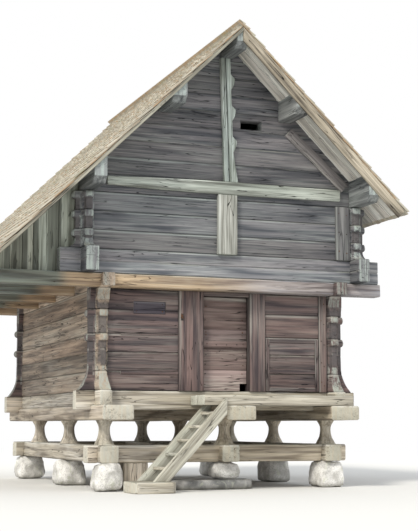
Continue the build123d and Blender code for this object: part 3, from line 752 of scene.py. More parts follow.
@dataclass(frozen=True)
class WeatheredWood(Finish):
    """Old softwood with growth rings, fibres, long checks, grime and painted shade in its seams, painted
    shade in its hollows and bleached high spots.
    """

    shade: Colour = (0.05, 0.035, 0.03)
    body: Colour = (0.16, 0.11, 0.09)
    bleach: Colour = (0.42, 0.40, 0.34)
    weather: float = 0.35  # how far the bleached colour comes through
    spread: float = 0.5  # difference in tone from log to log
    cracks: float = 0.8
    seam: float = 0.55  # how dark the seams are painted: grime and shade
    lichen: float = 0.5  # on what faces up
    bump: float = 0.6
    rings: float = 17.0  # growth rings per metre of the pattern
    warmth: float = 0.2  # how brown single logs are
    end: Colour = (0.40, 0.41, 0.34)  # end grain
    lip: float = 0.35  # how pale the worn upper edges are
    painted_shade: Colour = (0.115, 0.105, 0.105)  # painted shade in the carved necks and in the king post's seam
    brown: Colour = (1.25, 0.86, 0.66)  # what single logs are tinted with
    growth: Colour = (0.50, 0.52, 0.42)  # the lichen
    tone_zones: tuple[ToneZone, ...] = ()

    def make(self) -> bpy.types.Material:
        """Lay out the wood's nodes.

        Returns:
            The material.
        """
        s = Shading(self.name)
        grain = s.attribute("grain").outputs["Vector"]
        tone, second, half = s.parted(s.attribute("log").outputs["Vector"])
        up = s.parted(grain)[2]

        ring = s.node("ShaderNodeTexWave", wave_type="RINGS", rings_direction="X", wave_profile="SAW")
        s.feed(ring.inputs["Vector"], s.stretched(grain, (0.12, 1, 1)))
        ring.inputs["Scale"].default_value = self.rings
        ring.inputs["Distortion"].default_value = 2.6
        ring.inputs["Detail"].default_value = 3
        ring.inputs["Detail Scale"].default_value = 1.6
        fibre = s.noise(s.stretched(grain, (1.6, 70, 70)), 1.0, 4)
        streak = s.noise(s.stretched(grain, (0.7, 15, 15)), 1.0, 5, 0.5)
        patch = s.noise(s.stretched(grain, (0.45, 2.6, 2.6)), 1.0, 4, 0.8)
        split = s.noise(s.stretched(grain, (0.55, 11, 11)), 1.0, 1.5, 1.4)
        split_place = s.noise(s.stretched(grain, (1.1, 3, 3)), 1.0, 1)
        line = s.ramp(s.sum("ABSOLUTE", s.sum("SUBTRACT", split, 0.5)), 0.014, 0.002)
        crack = s.times(line, s.ramp(split_place, 0.44, 0.54))

        colour = s.blend(s.ramp(streak, 0.32, 0.68), self.shade, self.body)
        colour = s.blend(s.times(ring.outputs["Fac"], 0.35), colour, self.shade)
        worn = s.times(s.ramp(patch, 0.38, 0.72), s.ramp(fibre, 0.3, 0.7))
        colour = s.blend(s.times(worn, self.weather), colour, self.bleach)
        level = s.plus(s.times(tone, self.spread), 1 - self.spread / 2)
        colour = s.blend(1.0, colour, s.grey(level), "MULTIPLY")
        warm = s.times(second, self.warmth)
        colour = s.blend(warm, colour, s.blend(1.0, colour, self.brown, "MULTIPLY"))

        drip = s.noise(s.stretched(s.spot(), (30, 30, 2.2)), 1.0, 4, 0.3)
        end_colour = s.blend(s.ramp(drip, 0.36, 0.62), self.body, self.end)
        rim = s.times(s.ramp(ring.outputs["Fac"], 0.2, 0.9), 0.3)
        end_colour = s.blend(rim, end_colour, self.shade)
        # The "end" attribute: the share of end-grain colour, and below 0 painted shade in hollows.
        end = s.attribute("end").outputs["Fac"]
        colour = s.blend(s.times(s.sum("MAXIMUM", end, 0.0), 0.85), colour, end_colour)
        painted_shade = s.times(s.sum("MAXIMUM", s.times(end, -1.0), 0.0), 0.8)
        colour = s.blend(painted_shade, colour, self.painted_shade)

        upward = s.ramp(s.parted(s.node("ShaderNodeNewGeometry").outputs["Normal"])[2], 0.35, 0.85)
        growth = s.ramp(s.noise(s.stretched(grain, (3, 5, 5)), 1.0, 4), 0.35, 0.65)
        cover = s.times(s.times(upward, growth), self.lichen)
        colour = s.blend(cover, colour, self.growth)
        # Stretches along one axis multiplied by a tone, most of them painted light or shade.
        for tone_zone in self.tone_zones:
            depth = s.ramp(s.parted(s.spot())[tone_zone.along.value], tone_zone.none, tone_zone.full)
            colour = s.blend(depth, colour, s.blend(1.0, colour, tone_zone.tone, "MULTIPLY"))

        edge = s.sum("DIVIDE", up, s.sum("MAXIMUM", half, 0.01))
        worn_edge = s.times(s.ramp(edge, 0.70, 0.84), s.ramp(patch, 0.42, 0.60))
        colour = s.blend(s.times(worn_edge, self.lip), colour, self.bleach)
        # Darker along each log's upper and lower edges: grime and painted shade in the seams.
        seam_grime_and_shade = s.times(s.ramp(s.sum("ABSOLUTE", edge), 0.88, 0.99), self.seam)
        colour = s.blend(seam_grime_and_shade, colour, tuple(0.35 * value for value in self.shade))
        colour = s.blend(s.times(crack, self.cracks), colour, tuple(0.25 * v for v in self.shade))

        height = s.plus(s.times(fibre, 0.35), s.times(streak, 0.9))
        height = s.plus(height, s.times(ring.outputs["Fac"], 0.12))
        height = s.sum("SUBTRACT", height, s.times(crack, 1.6))
        roughness = s.plus(s.times(streak, 0.2), 0.68)
        return s.finish(colour, roughness, height, self.bump, 0.012, Specular_IOR_Level=0.25)


@dataclass(frozen=True)
class SplitShake(Finish):
    """Split shakes: bleached where the weather reaches, orange-brown at their butts and under the laps, with
    a painted shadow line just below each course's butts.
    """

    # Orange-brown of wood under the laps, also used for the painted shadow line below each course's butts.
    sheltered_and_shadow: Colour = (0.46, 0.30, 0.17)
    silver: Colour = (0.88, 0.89, 0.81)
    dark: Colour = (0.47, 0.43, 0.35)
    # Dark streaks up the slope: stains, and painted shade of the gaps between shakes.
    stain_and_gap_shade: Colour = (0.20, 0.165, 0.125)
    moss: Colour = (0.27, 0.29, 0.16)
    exposed: float = 0.30  # length from the butt that isn't under the next course

    def make(self) -> bpy.types.Material:
        """Lay out the shakes' nodes.

        Returns:
            The material.
        """
        s = Shading(self.name)
        grain = s.attribute("grain").outputs["Vector"]
        first, second, up_slope = s.parted(s.attribute("log").outputs["Vector"])
        fibre = s.noise(s.stretched(grain, (2.0, 90, 90)), 1.0, 4)
        streak = s.noise(s.stretched(grain, (1.2, 22, 22)), 1.0, 4, 0.4)
        colour = s.blend(s.ramp(streak, 0.3, 0.7), self.dark, self.silver)
        colour = s.blend(s.times(s.ramp(fibre, 0.35, 0.6), 0.25), self.dark, colour)
        tone = s.plus(s.times(first, 0.42), 0.82)
        colour = s.blend(1.0, colour, s.grey(tone), "MULTIPLY")
        # The part under the next course, and a painted shadow band just below that course's butts.
        tone_zone = s.ramp(up_slope, self.exposed - 0.03, self.exposed + 0.03)
        # Brown butt ends on some shakes: end grain, and part of the painted shadow line along each course.
        butt = s.ramp(up_slope, 0.012, 0.002)
        brown = s.sum("MAXIMUM", tone_zone, s.times(butt, s.ramp(second, 0.35, 0.95)))
        brown = s.sum("MAXIMUM", brown, s.times(s.ramp(second, 0.88, 0.92), 0.5))
        colour = s.blend(brown, colour, s.blend(s.ramp(streak, 0.3, 0.7), self.dark, self.sheltered_and_shadow))
        spot = s.spot()
        # Long dark streaks up the slope: stains, and painted shade standing in for the gaps between shakes.
        stain_and_gap_shade = s.ramp(s.noise(s.stretched(spot, (0.9, 9.0, 0.9)), 1.0, 5, 0.7), 0.50, 0.66)
        streak_tint = s.blend(streak, self.stain_and_gap_shade, self.dark)
        colour = s.blend(s.times(stain_and_gap_shade, 0.55), colour, streak_tint)
        moss = s.ramp(s.noise(spot, 1.7, 5, 0.6), 0.56, 0.72)
        colour = s.blend(s.times(moss, 0.35), colour, self.moss)
        height = s.plus(s.times(fibre, 0.4), streak)
        roughness = s.plus(s.times(streak, 0.15), 0.78)
        return s.finish(colour, roughness, height, 0.6, 0.008, Specular_IOR_Level=0.2)


@dataclass(frozen=True)
class FieldStone(Finish):
    """Grey natural stone with pale lichen, darker towards its foot."""

    dark: Colour = (0.52, 0.505, 0.47)
    pale: Colour = (0.90, 0.88, 0.84)
    fleck: Colour = (0.26, 0.25, 0.23)
    lichen: Colour = (0.55, 0.56, 0.45)
    # darker towards the bottom
    dark_foot: Colour = (0.08, 0.075, 0.05)

    def make(self) -> bpy.types.Material:
        """Lay out the stone's nodes.

        Returns:
            The material.
        """
        s = Shading(self.name)
        spot = s.spot()
        coarse = s.noise(spot, 5, 6, 0.4)
        speckle = s.noise(spot, 60, 3)
        colour = s.blend(s.ramp(coarse, 0.35, 0.65), self.dark, self.pale)
        colour = s.blend(s.times(s.ramp(speckle, 0.5, 0.62), 0.4), colour, self.fleck)
        lichen = s.ramp(s.noise(spot, 9, 4, 1.0), 0.58, 0.66)
        colour = s.blend(s.times(lichen, 0.6), colour, self.lichen)
        # darker towards the bottom, below 10 cm
        dark_foot = s.ramp(s.parted(spot)[2], 0.10, 0.0)
        colour = s.blend(s.times(dark_foot, 0.6), colour, self.dark_foot)
        height = s.plus(coarse, s.times(speckle, 0.3))
        return s.finish(colour, s.plus(s.times(coarse, 0.2), 0.7), height, 0.8, 0.02)


@dataclass(frozen=True)
class ForgedIron(Finish):
    """Dark forged iron with rust in patches."""

    iron: Colour = (0.055, 0.05, 0.048)
    rust: Colour = (0.20, 0.085, 0.04)

    def make(self) -> bpy.types.Material:
        """Lay out the iron's nodes.

        Returns:
            The material.
        """
        s = Shading(self.name)
        spot = s.spot()
        dents = s.noise(spot, 45, 3)
        patch = s.ramp(s.noise(spot, 18, 5, 0.6), 0.45, 0.62)
        colour = s.blend(s.times(patch, 0.85), self.iron, self.rust)
        roughness = s.plus(s.times(patch, 0.35), 0.5)
        return s.finish(colour, roughness, dents, 0.5, 0.004, Metallic=0.6)


# Painted sunlight: the base timbers are darker towards the right, so that their left end looks sunlit.
PAINTED_SUN_ON_BASE = ToneZone(Along.X, -1.7, 0.2, (0.86, 0.85, 0.81))
# Painted shade: the jetty beam is darker and bluer where it runs under the gallery.
PAINTED_SHADE_UNDER_GALLERY = ToneZone(Along.X, -1.95, -2.25, (0.42, 0.60, 0.76))
GREY_SIDE = ToneZone(Along.X, 0.0, 1.5, (0.72, 0.86, 1.25))
# Painted light: the carved post is paler above the tie log, making up for the shade under the roof.
PAINTED_LIGHT_ON_GABLE = ToneZone(Along.Z, 4.64, 4.90, (1.26, 1.36, 1.36))
BASE_TIMBER = WeatheredWood(
    "hewn_base_timber", (0.20, 0.175, 0.14), (0.66, 0.61, 0.50), (0.92, 0.90, 0.83), weather=0.8, spread=0.3,
    seam=0.3, end=(0.65, 0.64, 0.56), tone_zones=(PAINTED_SUN_ON_BASE,)
)
LOWER_LOG = WeatheredWood(
    "hewn_lower_log", (0.052, 0.043, 0.048), (0.205, 0.150, 0.140), (0.42, 0.40, 0.36), weather=0.4,
    spread=0.4, cracks=0.9, seam=0.6, lichen=0.6, end=(0.44, 0.47, 0.42), lip=0.6
)
HATCH_BOARD = WeatheredWood(
    "hatch_board", (0.045, 0.040, 0.055), (0.130, 0.115, 0.135), (0.26, 0.26, 0.27), weather=0.3, spread=0.2,
    cracks=0.9, seam=0.6, lichen=0.3
)
# Painted light: a paler, tan copy of the lower logs for the left wall, standing in for the sunlight on it.
SUNLIT_SIDE_LOG = WeatheredWood(
    "painted_sunlit_side_log", (0.13, 0.105, 0.085), (0.46, 0.37, 0.285), (0.68, 0.63, 0.53), weather=0.5, spread=0.4,
    cracks=1.0, seam=0.6, lichen=0.6, end=(0.46, 0.49, 0.44)
)
UPPER_LOG = WeatheredWood(
    "hewn_upper_log", (0.062, 0.068, 0.080), (0.215, 0.212, 0.222), (0.44, 0.48, 0.46), weather=0.40,
    spread=0.4, cracks=0.9, seam=0.65, lichen=0.6, warmth=0.15, end=(0.46, 0.52, 0.48), lip=0.5
)
PURLIN = WeatheredWood(
    "hewn_purlin", (0.10, 0.11, 0.115), (0.34, 0.36, 0.36), (0.52, 0.57, 0.54), weather=0.40, spread=0.3,
    seam=0.3, warmth=0.15, end=(0.50, 0.57, 0.54)
)
FACE_PLANK = WeatheredWood(
    "face_plank", (0.080, 0.080, 0.086), (0.27, 0.265, 0.275), (0.46, 0.48, 0.45), weather=0.45, spread=0.3,
    cracks=1.0, seam=0.5, warmth=0.2, end=(0.42, 0.45, 0.40)
)
TIE_TIMBER = WeatheredWood(
    "worn_tie_log", (0.10, 0.105, 0.09), (0.42, 0.46, 0.41), (0.78, 0.82, 0.74), weather=0.8, spread=0.2,
    cracks=1.0, seam=0.55, warmth=0.3, end=(0.55, 0.58, 0.5), lip=0.7
)
CARVED_POST = WeatheredWood(
    "carved_post", (0.12, 0.125, 0.105), (0.41, 0.44, 0.41), (0.70, 0.73, 0.69), weather=0.85, spread=0.3,
    cracks=1.0, seam=0.35, warmth=0.15, end=(0.55, 0.58, 0.5), tone_zones=(PAINTED_LIGHT_ON_GABLE,)
)
JETTY_TIMBER = WeatheredWood(
    "hewn_jetty_timber", (0.20, 0.14, 0.095), (0.57, 0.43, 0.28), (0.74, 0.68, 0.55), weather=0.5,
    spread=0.3, seam=0.25, end=(0.56, 0.50, 0.38), tone_zones=(PAINTED_SHADE_UNDER_GALLERY, GREY_SIDE)
)
INNER_BOARD = WeatheredWood(
    "inner_board", (0.14, 0.11, 0.085), (0.38, 0.32, 0.25), (0.55, 0.50, 0.42), weather=0.3, cracks=0.6,
    seam=0.3, lichen=0.3
)
# Painted light: paler than the boards' own grey-green, making up for the deep shade under the roof.
PAINTED_PALE_GALLERY_BOARD = WeatheredWood(
    "gallery_board", (0.17, 0.18, 0.145), (0.58, 0.63, 0.54), (0.74, 0.80, 0.72), weather=0.45, spread=0.7,
    cracks=0.7, seam=0.7, lichen=0.2, warmth=0.15
)
# Painted light: the roof decks' undersides are painted very pale, standing in for the light bounced up from
# the ground.
SOFFIT_WITH_PAINTED_BOUNCE = WeatheredWood(
    "soffit_board_painted_bounce", (0.34, 0.34, 0.31), (0.78, 0.78, 0.73), (0.92, 0.93, 0.89), weather=0.5, spread=0.8,
    cracks=0.7, seam=0.9, lichen=0.0, warmth=0.25
)
VERGE_BOARD = WeatheredWood(
    "verge_board", (0.055, 0.050, 0.040), (0.42, 0.41, 0.33), (0.80, 0.80, 0.68), weather=0.7, spread=0.4,
    cracks=1.0, seam=0.6, lichen=0.4, warmth=0.3
)
WORN_PLANK = WeatheredWood(
    "worn_plank", (0.25, 0.235, 0.19), (0.60, 0.60, 0.51), (0.86, 0.88, 0.79), weather=0.75, spread=0.25,
    seam=0.2, lichen=0.35, end=(0.72, 0.72, 0.63)
)
DOOR_BOARD = WeatheredWood(
    "door_board", (0.085, 0.063, 0.060), (0.250, 0.190, 0.178), (0.48, 0.45, 0.40), weather=0.45, spread=0.6,
    cracks=0.9, seam=0.3, lichen=0.3, warmth=0.2, lip=0.8
)
SHAKE = SplitShake("split_shake")
STONE = FieldStone("field_stone")
SLAB = FieldStone("slab_stone_grey", (0.20, 0.20, 0.195), (0.46, 0.45, 0.43))
IRON = ForgedIron("forged_iron")


# Timbers


@dataclass
class HewnPiece:
    """One frame node that is finished as hewn wood: rounded arrises, wavering faces and its own grain."""

    node: str
    finish: Finish
    slot: str
    along: Along | None
    body: str = "root"
    levels: tuple[float, ...] = ()
    tones: tuple[float, ...] = ()
    arris: float = 0.006  # width of its rounded edges
    waver: float = 0.010  # travel of its hewn faces
    swelling: float = 0.30  # size of their swellings
    step: float = 0.32  # between its cuts along the grain
    heart_shift: float = 0.0

    def build(self) -> bpy.types.Object:
        """Copy the node, round it, cut it into short stretches, push it about and dress it.

        Returns:
            The finished piece.
        """
        piece = frame_copy(f"hewn_{self.node}", self.node)
        if self.arris:
            bevel(piece, self.arris, 2, 32)
            apply_all(piece)
        self.divide(piece)
        self.carve(piece)
        if self.waver:
            stretch = [1.0, 1.0, 1.0]
            if self.along:
                stretch[self.along.value] = 3.5
            waver(piece, self.waver, self.swelling, stretch)
        smooth(piece)
        line = axis_line(self.along.value) if self.along else None
        mark_grain(piece, line, self.node, self.levels[1:-1], self.heart_shift, self.tones, self.end_grain_and_shade)
        settle(piece, self.finish, self.body, [self.node])
        return piece

    def end_grain_and_shade(self, spot: Vector) -> float:
        """How much end grain shows at a spot, from 0 to 1, or below 0 where shade is painted."""
        return 1.0

    def divide(self, piece: bpy.types.Object) -> None:
        """Cut the piece into short stretches along its grain, so that its faces can waver.

        Args:
            piece: The copy of the node.
        """
        low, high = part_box(self.node)
        axis = self.along.value if self.along else max(range(3), key=lambda n: high[n] - low[n])
        draw = random.Random(self.node)
        count = max(1, round((high[axis] - low[axis]) / self.step))
        pitch = (high[axis] - low[axis]) / count
        slice_at(piece, axis, [low[axis] + pitch * (n + draw.uniform(-0.2, 0.2)) for n in range(1, count)])

    def carve(self, piece: bpy.types.Object) -> None:
        """Shape the divided copy further, which plain timbers don't need."""


@dataclass
class LogWall(HewnPiece):
    """A wall of hewn logs: each bulges a little, and the knobs at its ends are round."""

    middle: float = 0.0  # the wall's middle plane
    faces: tuple[float, float] = (0.0, 0.0)  # the outer faces of the crossing walls
    neck: float = 0.09  # from those faces to the foot of a knob
    ease: float = 0.03  # from those faces to where the neck has its own thickness
    flare: tuple[float, float] = (0.0, 0.4)  # the levels of its foot and its head
    corbel: float = 9.0  # the level from which the ends are full again
    knobs: tuple[float, ...] = ()  # the heights of their middles
    knob_radius: float = 0.065
    waist: float = 0.50  # thickness of a neck, as a share of the log's
    ball: float = 0.84  # thickness of a knob, as a share of the log's
    half_log: float = 0.10
    chamfer: float = 0.014
    crown: float = 0.009  # how far a log bulges
    upper: float = 0.8  # thickness over the highest knob, as a share of the log's
    nose: float = 0.35  # how much narrower a knob is at its end
    swell: float = 0.6  # how far its end is rounded
    flat: float = 0.7  # share of end-grain colour where nothing is carved

    def divide(self, piece: bpy.types.Object) -> None:
        """Cut the wall along its logs, at three heights of each and around its knobs.

        Args:
            piece: The copy of the node.
        """
        super().divide(piece)
        axis, radius = self.along.value, self.knob_radius
        halves = (-1, -0.5, 0, 0.5, 1)
        for low, high in zip(self.levels, self.levels[1:]):
            slice_at(piece, 2, [low + (high - low) * share for share in (0.22, 0.5, 0.78)])
        if self.knobs:
            slice_at(piece, 2, [knob + radius * share for knob in self.knobs for share in halves])
            slice_at(piece, 1 - axis, [self.middle + self.half_log * share for share in halves[1:-1]])
            reaches = (0.004, self.ease, self.neck, self.neck + 0.35 * radius, self.neck + 0.7 * radius)
            ends = list(zip(self.faces, (-1, 1)))
            slice_at(piece, axis, [face + sign * reach for face, sign in ends for reach in reaches])

    def thickness(self, level: float) -> float:
        """The share of its full thickness that a carved end has at a height.

        Args:
            level: The height.

        Returns:
            The share.
        """
        if level >= self.corbel:
            return 1.0
        nearest = min(self.knobs, key=lambda knob: abs(knob - level))
        rise = abs(level - nearest) / self.knob_radius
        if rise < 1:
            return self.waist + (self.ball - self.waist) * math.sqrt(1 - rise * rise)
        foot, head = self.flare
        if level < head:
            share = min((head - level) / (head - foot), 1.0)
            return self.waist + (1 - self.waist) * share ** 1.2
        if level > max(self.knobs):
            return self.upper
        return self.waist

    def end_grain_and_shade(self, spot: Vector) -> float:
        """How much end grain shows: most on the flares and the knobs, with painted shade in the necks."""
        along = spot[self.along.value]
        beyond = max(self.faces[0] - along, along - self.faces[1])
        if not self.knobs or beyond < 0.02 or spot.z >= self.corbel:
            return self.flat
        if min(abs(spot.z - knob) for knob in self.knobs) < self.knob_radius * 0.8:
            return 1.0
        # the necks between the knobs: painted shade
        return 1.0 if spot.z < self.flare[1] else -1.0

    def carve(self, piece: bpy.types.Object) -> None:
        """Bulge the logs, and carve their ends into necks and round knobs.

        Args:
            piece: The divided copy.
        """
        axis = self.along.value
        for vertex in piece.data.vertices:
            spot = vertex.co
            across = spot[1 - axis] - self.middle
            if abs(across) > self.half_log - self.chamfer + 0.001:
                for low, high in zip(self.levels, self.levels[1:]):
                    if low <= spot.z <= high:
                        share = 2 * (spot.z - low) / (high - low) - 1
                        spot[1 - axis] += math.copysign(self.crown * (1 - share * share), across)
            for face, sign in zip(self.faces, (-1, 1)):
                reach = (spot[axis] - face) * sign
                if not self.knobs or reach < 0.002:
                    continue
                start = min((reach - 0.002) / self.ease, 1.0)
                size = 1 - (1 - self.thickness(spot.z)) * start
                turn = abs(across) / self.half_log
                beyond = reach - self.neck
                if beyond > 0 and min(abs(spot.z - knob) for knob in self.knobs) < self.knob_radius:
                    size *= 1 - self.nose * min(beyond / self.knob_radius, 1.0) ** 2
                    bend = math.sqrt(1 - self.swell * turn * turn)
                    spot[axis] = face + sign * (self.neck + beyond * bend)
                spot[1 - axis] = self.middle + across * size


@dataclass
class TieLog(HewnPiece):
    """The worn log across the foot of the gable, thinner at its ends and a little bent."""

    left_end: float = 0.62
    right_end: float = 0.86
    thickest: float = 0.55  # how far along it

    def carve(self, piece: bpy.types.Object) -> None:
        """Thin the log towards its ends, in height and in depth.

        Args:
            piece: The divided copy.
        """
        low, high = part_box(self.node)
        middle = (low[2] + high[2]) / 2
        for vertex in piece.data.vertices:
            share = (vertex.co.x - low[0]) / (high[0] - low[0])
            if share < self.thickest:
                end, away = self.left_end, (self.thickest - share) / self.thickest
            else:
                end, away = self.right_end, (share - self.thickest) / (1 - self.thickest)
            size = 1 - (1 - end) * away ** 2
            vertex.co.z = middle + (vertex.co.z - middle) * size
            vertex.co.y = high[1] + (vertex.co.y - high[1]) * (0.6 + 0.4 * size)


@dataclass
class KingPosts(HewnPiece):
    """The carved post of the gable, which leans, and the plain post under the tie log."""

    lean: float = 0.065
    strip: float = -0.025  # right of the middle, where the carved strip starts
    step_back: float = 0.010
    seam_width: float = 0.018
    seam_depth: float = 0.06
    # how strongly shade is painted into the seam between the two strips
    seam_shade: float = 1.5
    foot: float = 0.02  # of the upper post, over the tie log's underside

    def divide(self, piece: bpy.types.Object) -> None:
        """Cut the posts along their length and beside the seam of their two strips.

        Args:
            piece: The copy of the node.
        """
        super().divide(piece)
        seam = self.seam()
        slice_at(piece, 0, [seam - self.seam_width - 0.003, seam - self.seam_width, seam, seam + 0.003])

    def seam(self) -> float:
        """Where the two strips meet, in metres along X."""
        low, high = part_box(self.node)
        return (low[0] + high[0]) / 2 + self.strip

    def shift(self, level: float) -> float:
        """How far the upper post leans to the right at a height."""
        top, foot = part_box(self.node)[1][2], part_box("tie_log")[1][2]
        return self.lean * (top - level) / (top - foot)

    def end_grain_and_shade(self, spot: Vector) -> float:
        """How much end grain shows at a spot: the seam of the two strips gets painted shade."""
        seam = self.seam() + self.shift(spot.z)
        in_seam = seam - self.seam_width - 0.002 < spot.x < seam + 0.002
        return -self.seam_shade if in_seam and spot.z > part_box("tie_log")[0][2] + self.foot else 1.0

    def carve(self, piece: bpy.types.Object) -> None:
        """Set the carved strip back behind a dark seam, and lean the upper post.

        Args:
            piece: The divided copy.
        """
        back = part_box(self.node)[1][1]
        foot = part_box("tie_log")[0][2] + self.foot
        seam = self.seam()
        for vertex in piece.data.vertices:
            spot = vertex.co
            if spot.z < foot:
                continue
            if spot.y < back - 0.03:
                if spot.x > seam + 0.001:
                    spot.y += self.step_back
                elif spot.x > seam - self.seam_width - 0.001:
                    spot.y += self.seam_depth
            spot.x += self.shift(spot.z)


@dataclass
class Boarded:
    """A frame node that is made of separate boards side by side."""

    node: str
    finish: Finish
    slot: str
    across: Along
    along: Along | None
    least: float = 0.15  # width of the narrowest board
    most: float = 0.24
    gap: float = 0.005
    uneven: float = 0.004  # how far boards are set back at most
    out: Point = (0.0, 0.0, 1.0)  # the direction that they face
    arris: float = 0.003
    heart_shift: float = 0.12

    def build(self) -> bpy.types.Object:
        """Cut the node into boards, set each a little in or out, and dress them.

        Returns:
            The joined boards.
        """
        source = frame_copy(f"boards_{self.node}", self.node)
        low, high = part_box(self.node)
        axis = self.across.value
        draw = random.Random(self.node)
        seams = [low[axis]]
        while high[axis] - seams[-1] > self.most:
            seams.append(seams[-1] + draw.uniform(self.least, self.most))
        if high[axis] - seams[-1] < self.least * 0.6 and len(seams) > 1:
            seams.pop()
        seams.append(high[axis])
        boards = []
        for start, end in zip(seams, seams[1:]):
            board = copied(source, Matrix.Translation(Vector(self.out) * draw.uniform(-self.uneven, 0)))
            self.trim(board, start + self.gap / 2, 1.0)
            self.trim(board, end - self.gap / 2, -1.0)
            boards.append(board)
        drop([source])
        whole = joined(f"boards_{self.node}", boards)
        bevel(whole, self.arris, 1, 40)
        apply_all(whole)
        line = axis_line(self.along.value) if self.along else None
        mark_grain(whole, line, self.node, heart_shift=self.heart_shift)
        settle(whole, self.finish, "root", [self.node])
        return whole

    def trim(self, board: bpy.types.Object, place: float, side: float) -> None:
        """Cut a board off at a plane square to the axis across it.

        Args:
            board: The board.
            place: The plane's place on that axis.
            side: 1 to keep what lies beyond the plane, -1 to keep what lies before it.
        """
        line = axis_line(self.across.value)
        take(board)
        bpy.ops.object.mode_set(mode="EDIT")
        bpy.ops.mesh.select_all(action="SELECT")
        bpy.ops.mesh.bisect(plane_co=line * place, plane_no=line * side, use_fill=True, clear_inner=True)
        bpy.ops.object.mode_set(mode="OBJECT")


def stacked(start: float, heights: Sequence[float]) -> tuple[float, ...]:
    """The seams of a stack of logs.

    Args:
        start: The height of the lowest seam.
        heights: The logs' heights from the bottom to the top.

    Returns:
        Every seam's height, the bottom and the top included.
    """
    seams = [start]
    for height in heights:
        seams.append(seams[-1] + height)
    return tuple(seams)


@dataclass
class Legs:
    """Nine round legs, drawn in at the waist like an hourglass."""

    sides: int = 20
    roundness: float = 0.97  # of the frame's flat-sided legs
    profile: tuple[tuple[float, float], ...] = (
        (0.00, 0.180), (0.05, 0.160), (0.13, 0.146), (0.22, 0.124), (0.32, 0.108), (0.45, 0.096),
        (0.60, 0.090), (0.72, 0.093), (0.82, 0.108), (0.92, 0.131), (1.00, 0.150),
    )

    def build(self) -> bpy.types.Object:
        """Model one leg and stand a copy at each of the frame's legs.

        Returns:
            The joined legs.
        """
        boxes = part_boxes("legs")
        pattern = self.leg(boxes[0][1].z - boxes[0][0].z)
        draw = random.Random("legs")
        legs = []
        for low, high in boxes:
            middle = (low + high) / 2
            turn = Matrix.Rotation(draw.uniform(0, math.tau), 4, "Z")
            legs.append(copied(pattern, Matrix.Translation((middle.x, middle.y, low.z)) @ turn))
        drop([pattern])
        whole = joined("round_legs", legs)
        waver(whole, 0.014, 0.12, (1, 1, 3))
        smooth(whole, 50)
        mark_grain(whole, Vector((0, 0, 1)), "legs", heart_shift=0.03)
        settle(whole, BASE_TIMBER, "root", ["legs"])
        return whole

    def leg(self, height: float) -> bpy.types.Object:
        """Model one leg as a disc that is drawn up ring by ring.

        Args:
            height: The leg's height.

        Returns:
            The leg, standing at the origin.
        """
        deselect()
        radius = self.profile[0][1] * self.roundness
        bpy.ops.mesh.primitive_circle_add(vertices=self.sides, radius=radius, fill_type="NGON")
        piece = bpy.context.object
        piece.name = "leg"
        bpy.ops.object.mode_set(mode="EDIT")
        bpy.ops.mesh.select_all(action="SELECT")
        for (before, old), (share, new) in zip(self.profile, self.profile[1:]):
            bpy.ops.mesh.extrude_region_move(
                TRANSFORM_OT_translate={"value": (0, 0, (share - before) * height)}
            )
            bpy.ops.transform.resize(value=(new / old, new / old, 1), center_override=(0, 0, share * height))
        bpy.ops.mesh.select_all(action="SELECT")
        bpy.ops.mesh.normals_make_consistent(inside=False)
        bpy.ops.object.mode_set(mode="OBJECT")
        return piece


@dataclass
class Stones:
    """Natural stones under the base frame."""

    roughness: float = 0.05
    slab_step: float = 0.05  # between the slab's cuts
    taper: float = 0.14  # how much narrower a stone's head is

    def build(self) -> bpy.types.Object:
        """Model each stone from a block with rounded corners, and roughen the slab.

        Returns:
            The joined stones.
        """
        boxes = part_boxes("foundation_stones")
        stones = [self.stone(number, low, high) for number, (low, high) in enumerate(boxes)]
        whole = joined("field_stones", stones)
        smooth(whole, 60)
        settle(whole, STONE, "root", ["foundation_stones"])
        self.slab()
        return whole

    def slab(self) -> bpy.types.Object:
        """Roughen the broad slab.

        Returns:
            The slab.
        """
        low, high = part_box("slab_stone")
        piece = frame_copy("flat_slab", "slab_stone")
        for axis in (0, 1):
            size = high[axis] - low[axis]
            count = int(size / self.slab_step)
            slice_at(piece, axis, [low[axis] + size * n / count for n in range(1, count)])
        slice_at(piece, 2, [low[2] + (high[2] - low[2]) * share for share in (0.3, 0.55)])
        waver(piece, 0.03, 0.22, (1, 1, 1))
        waver(piece, 0.012, 0.06, (1, 1, 1))
        for vertex in piece.data.vertices:
            vertex.co.z = clamped(vertex.co.z, low[2], high[2])
        smooth(piece, 60)
        settle(piece, SLAB, "root", ["slab_stone"])
        return piece

    def stone(self, number: int, low: Vector, high: Vector) -> bpy.types.Object:
        """Model one stone.

        Args:
            number: The stone's number, for its random shape.
            low: The lowest corner of its space.
            high: The highest corner of its space.

        Returns:
            The stone.
        """
        draw = random.Random(f"stone{number}")
        middle = (low + high) / 2
        piece = block(f"stone_{number}", low, high)
        bevel(piece, draw.uniform(0.09, 0.12), 2, 30)
        finer = piece.modifiers.new("finer", "SUBSURF")
        finer.subdivision_type = "SIMPLE"
        finer.levels = finer.render_levels = 3
        apply_all(piece)
        waver(piece, self.roughness * 1.6, 0.30, (1, 1, 1))
        waver(piece, self.roughness * 0.5, 0.09, (1, 1, 1))
        for vertex in piece.data.vertices:
            vertex.co.z = clamped(vertex.co.z, low.z, high.z)
            taper = 1 - self.taper * (vertex.co.z - low.z) / (high.z - low.z)
            vertex.co.x = middle.x + (vertex.co.x - middle.x) * taper
            vertex.co.y = middle.y + (vertex.co.y - middle.y) * taper
        return piece


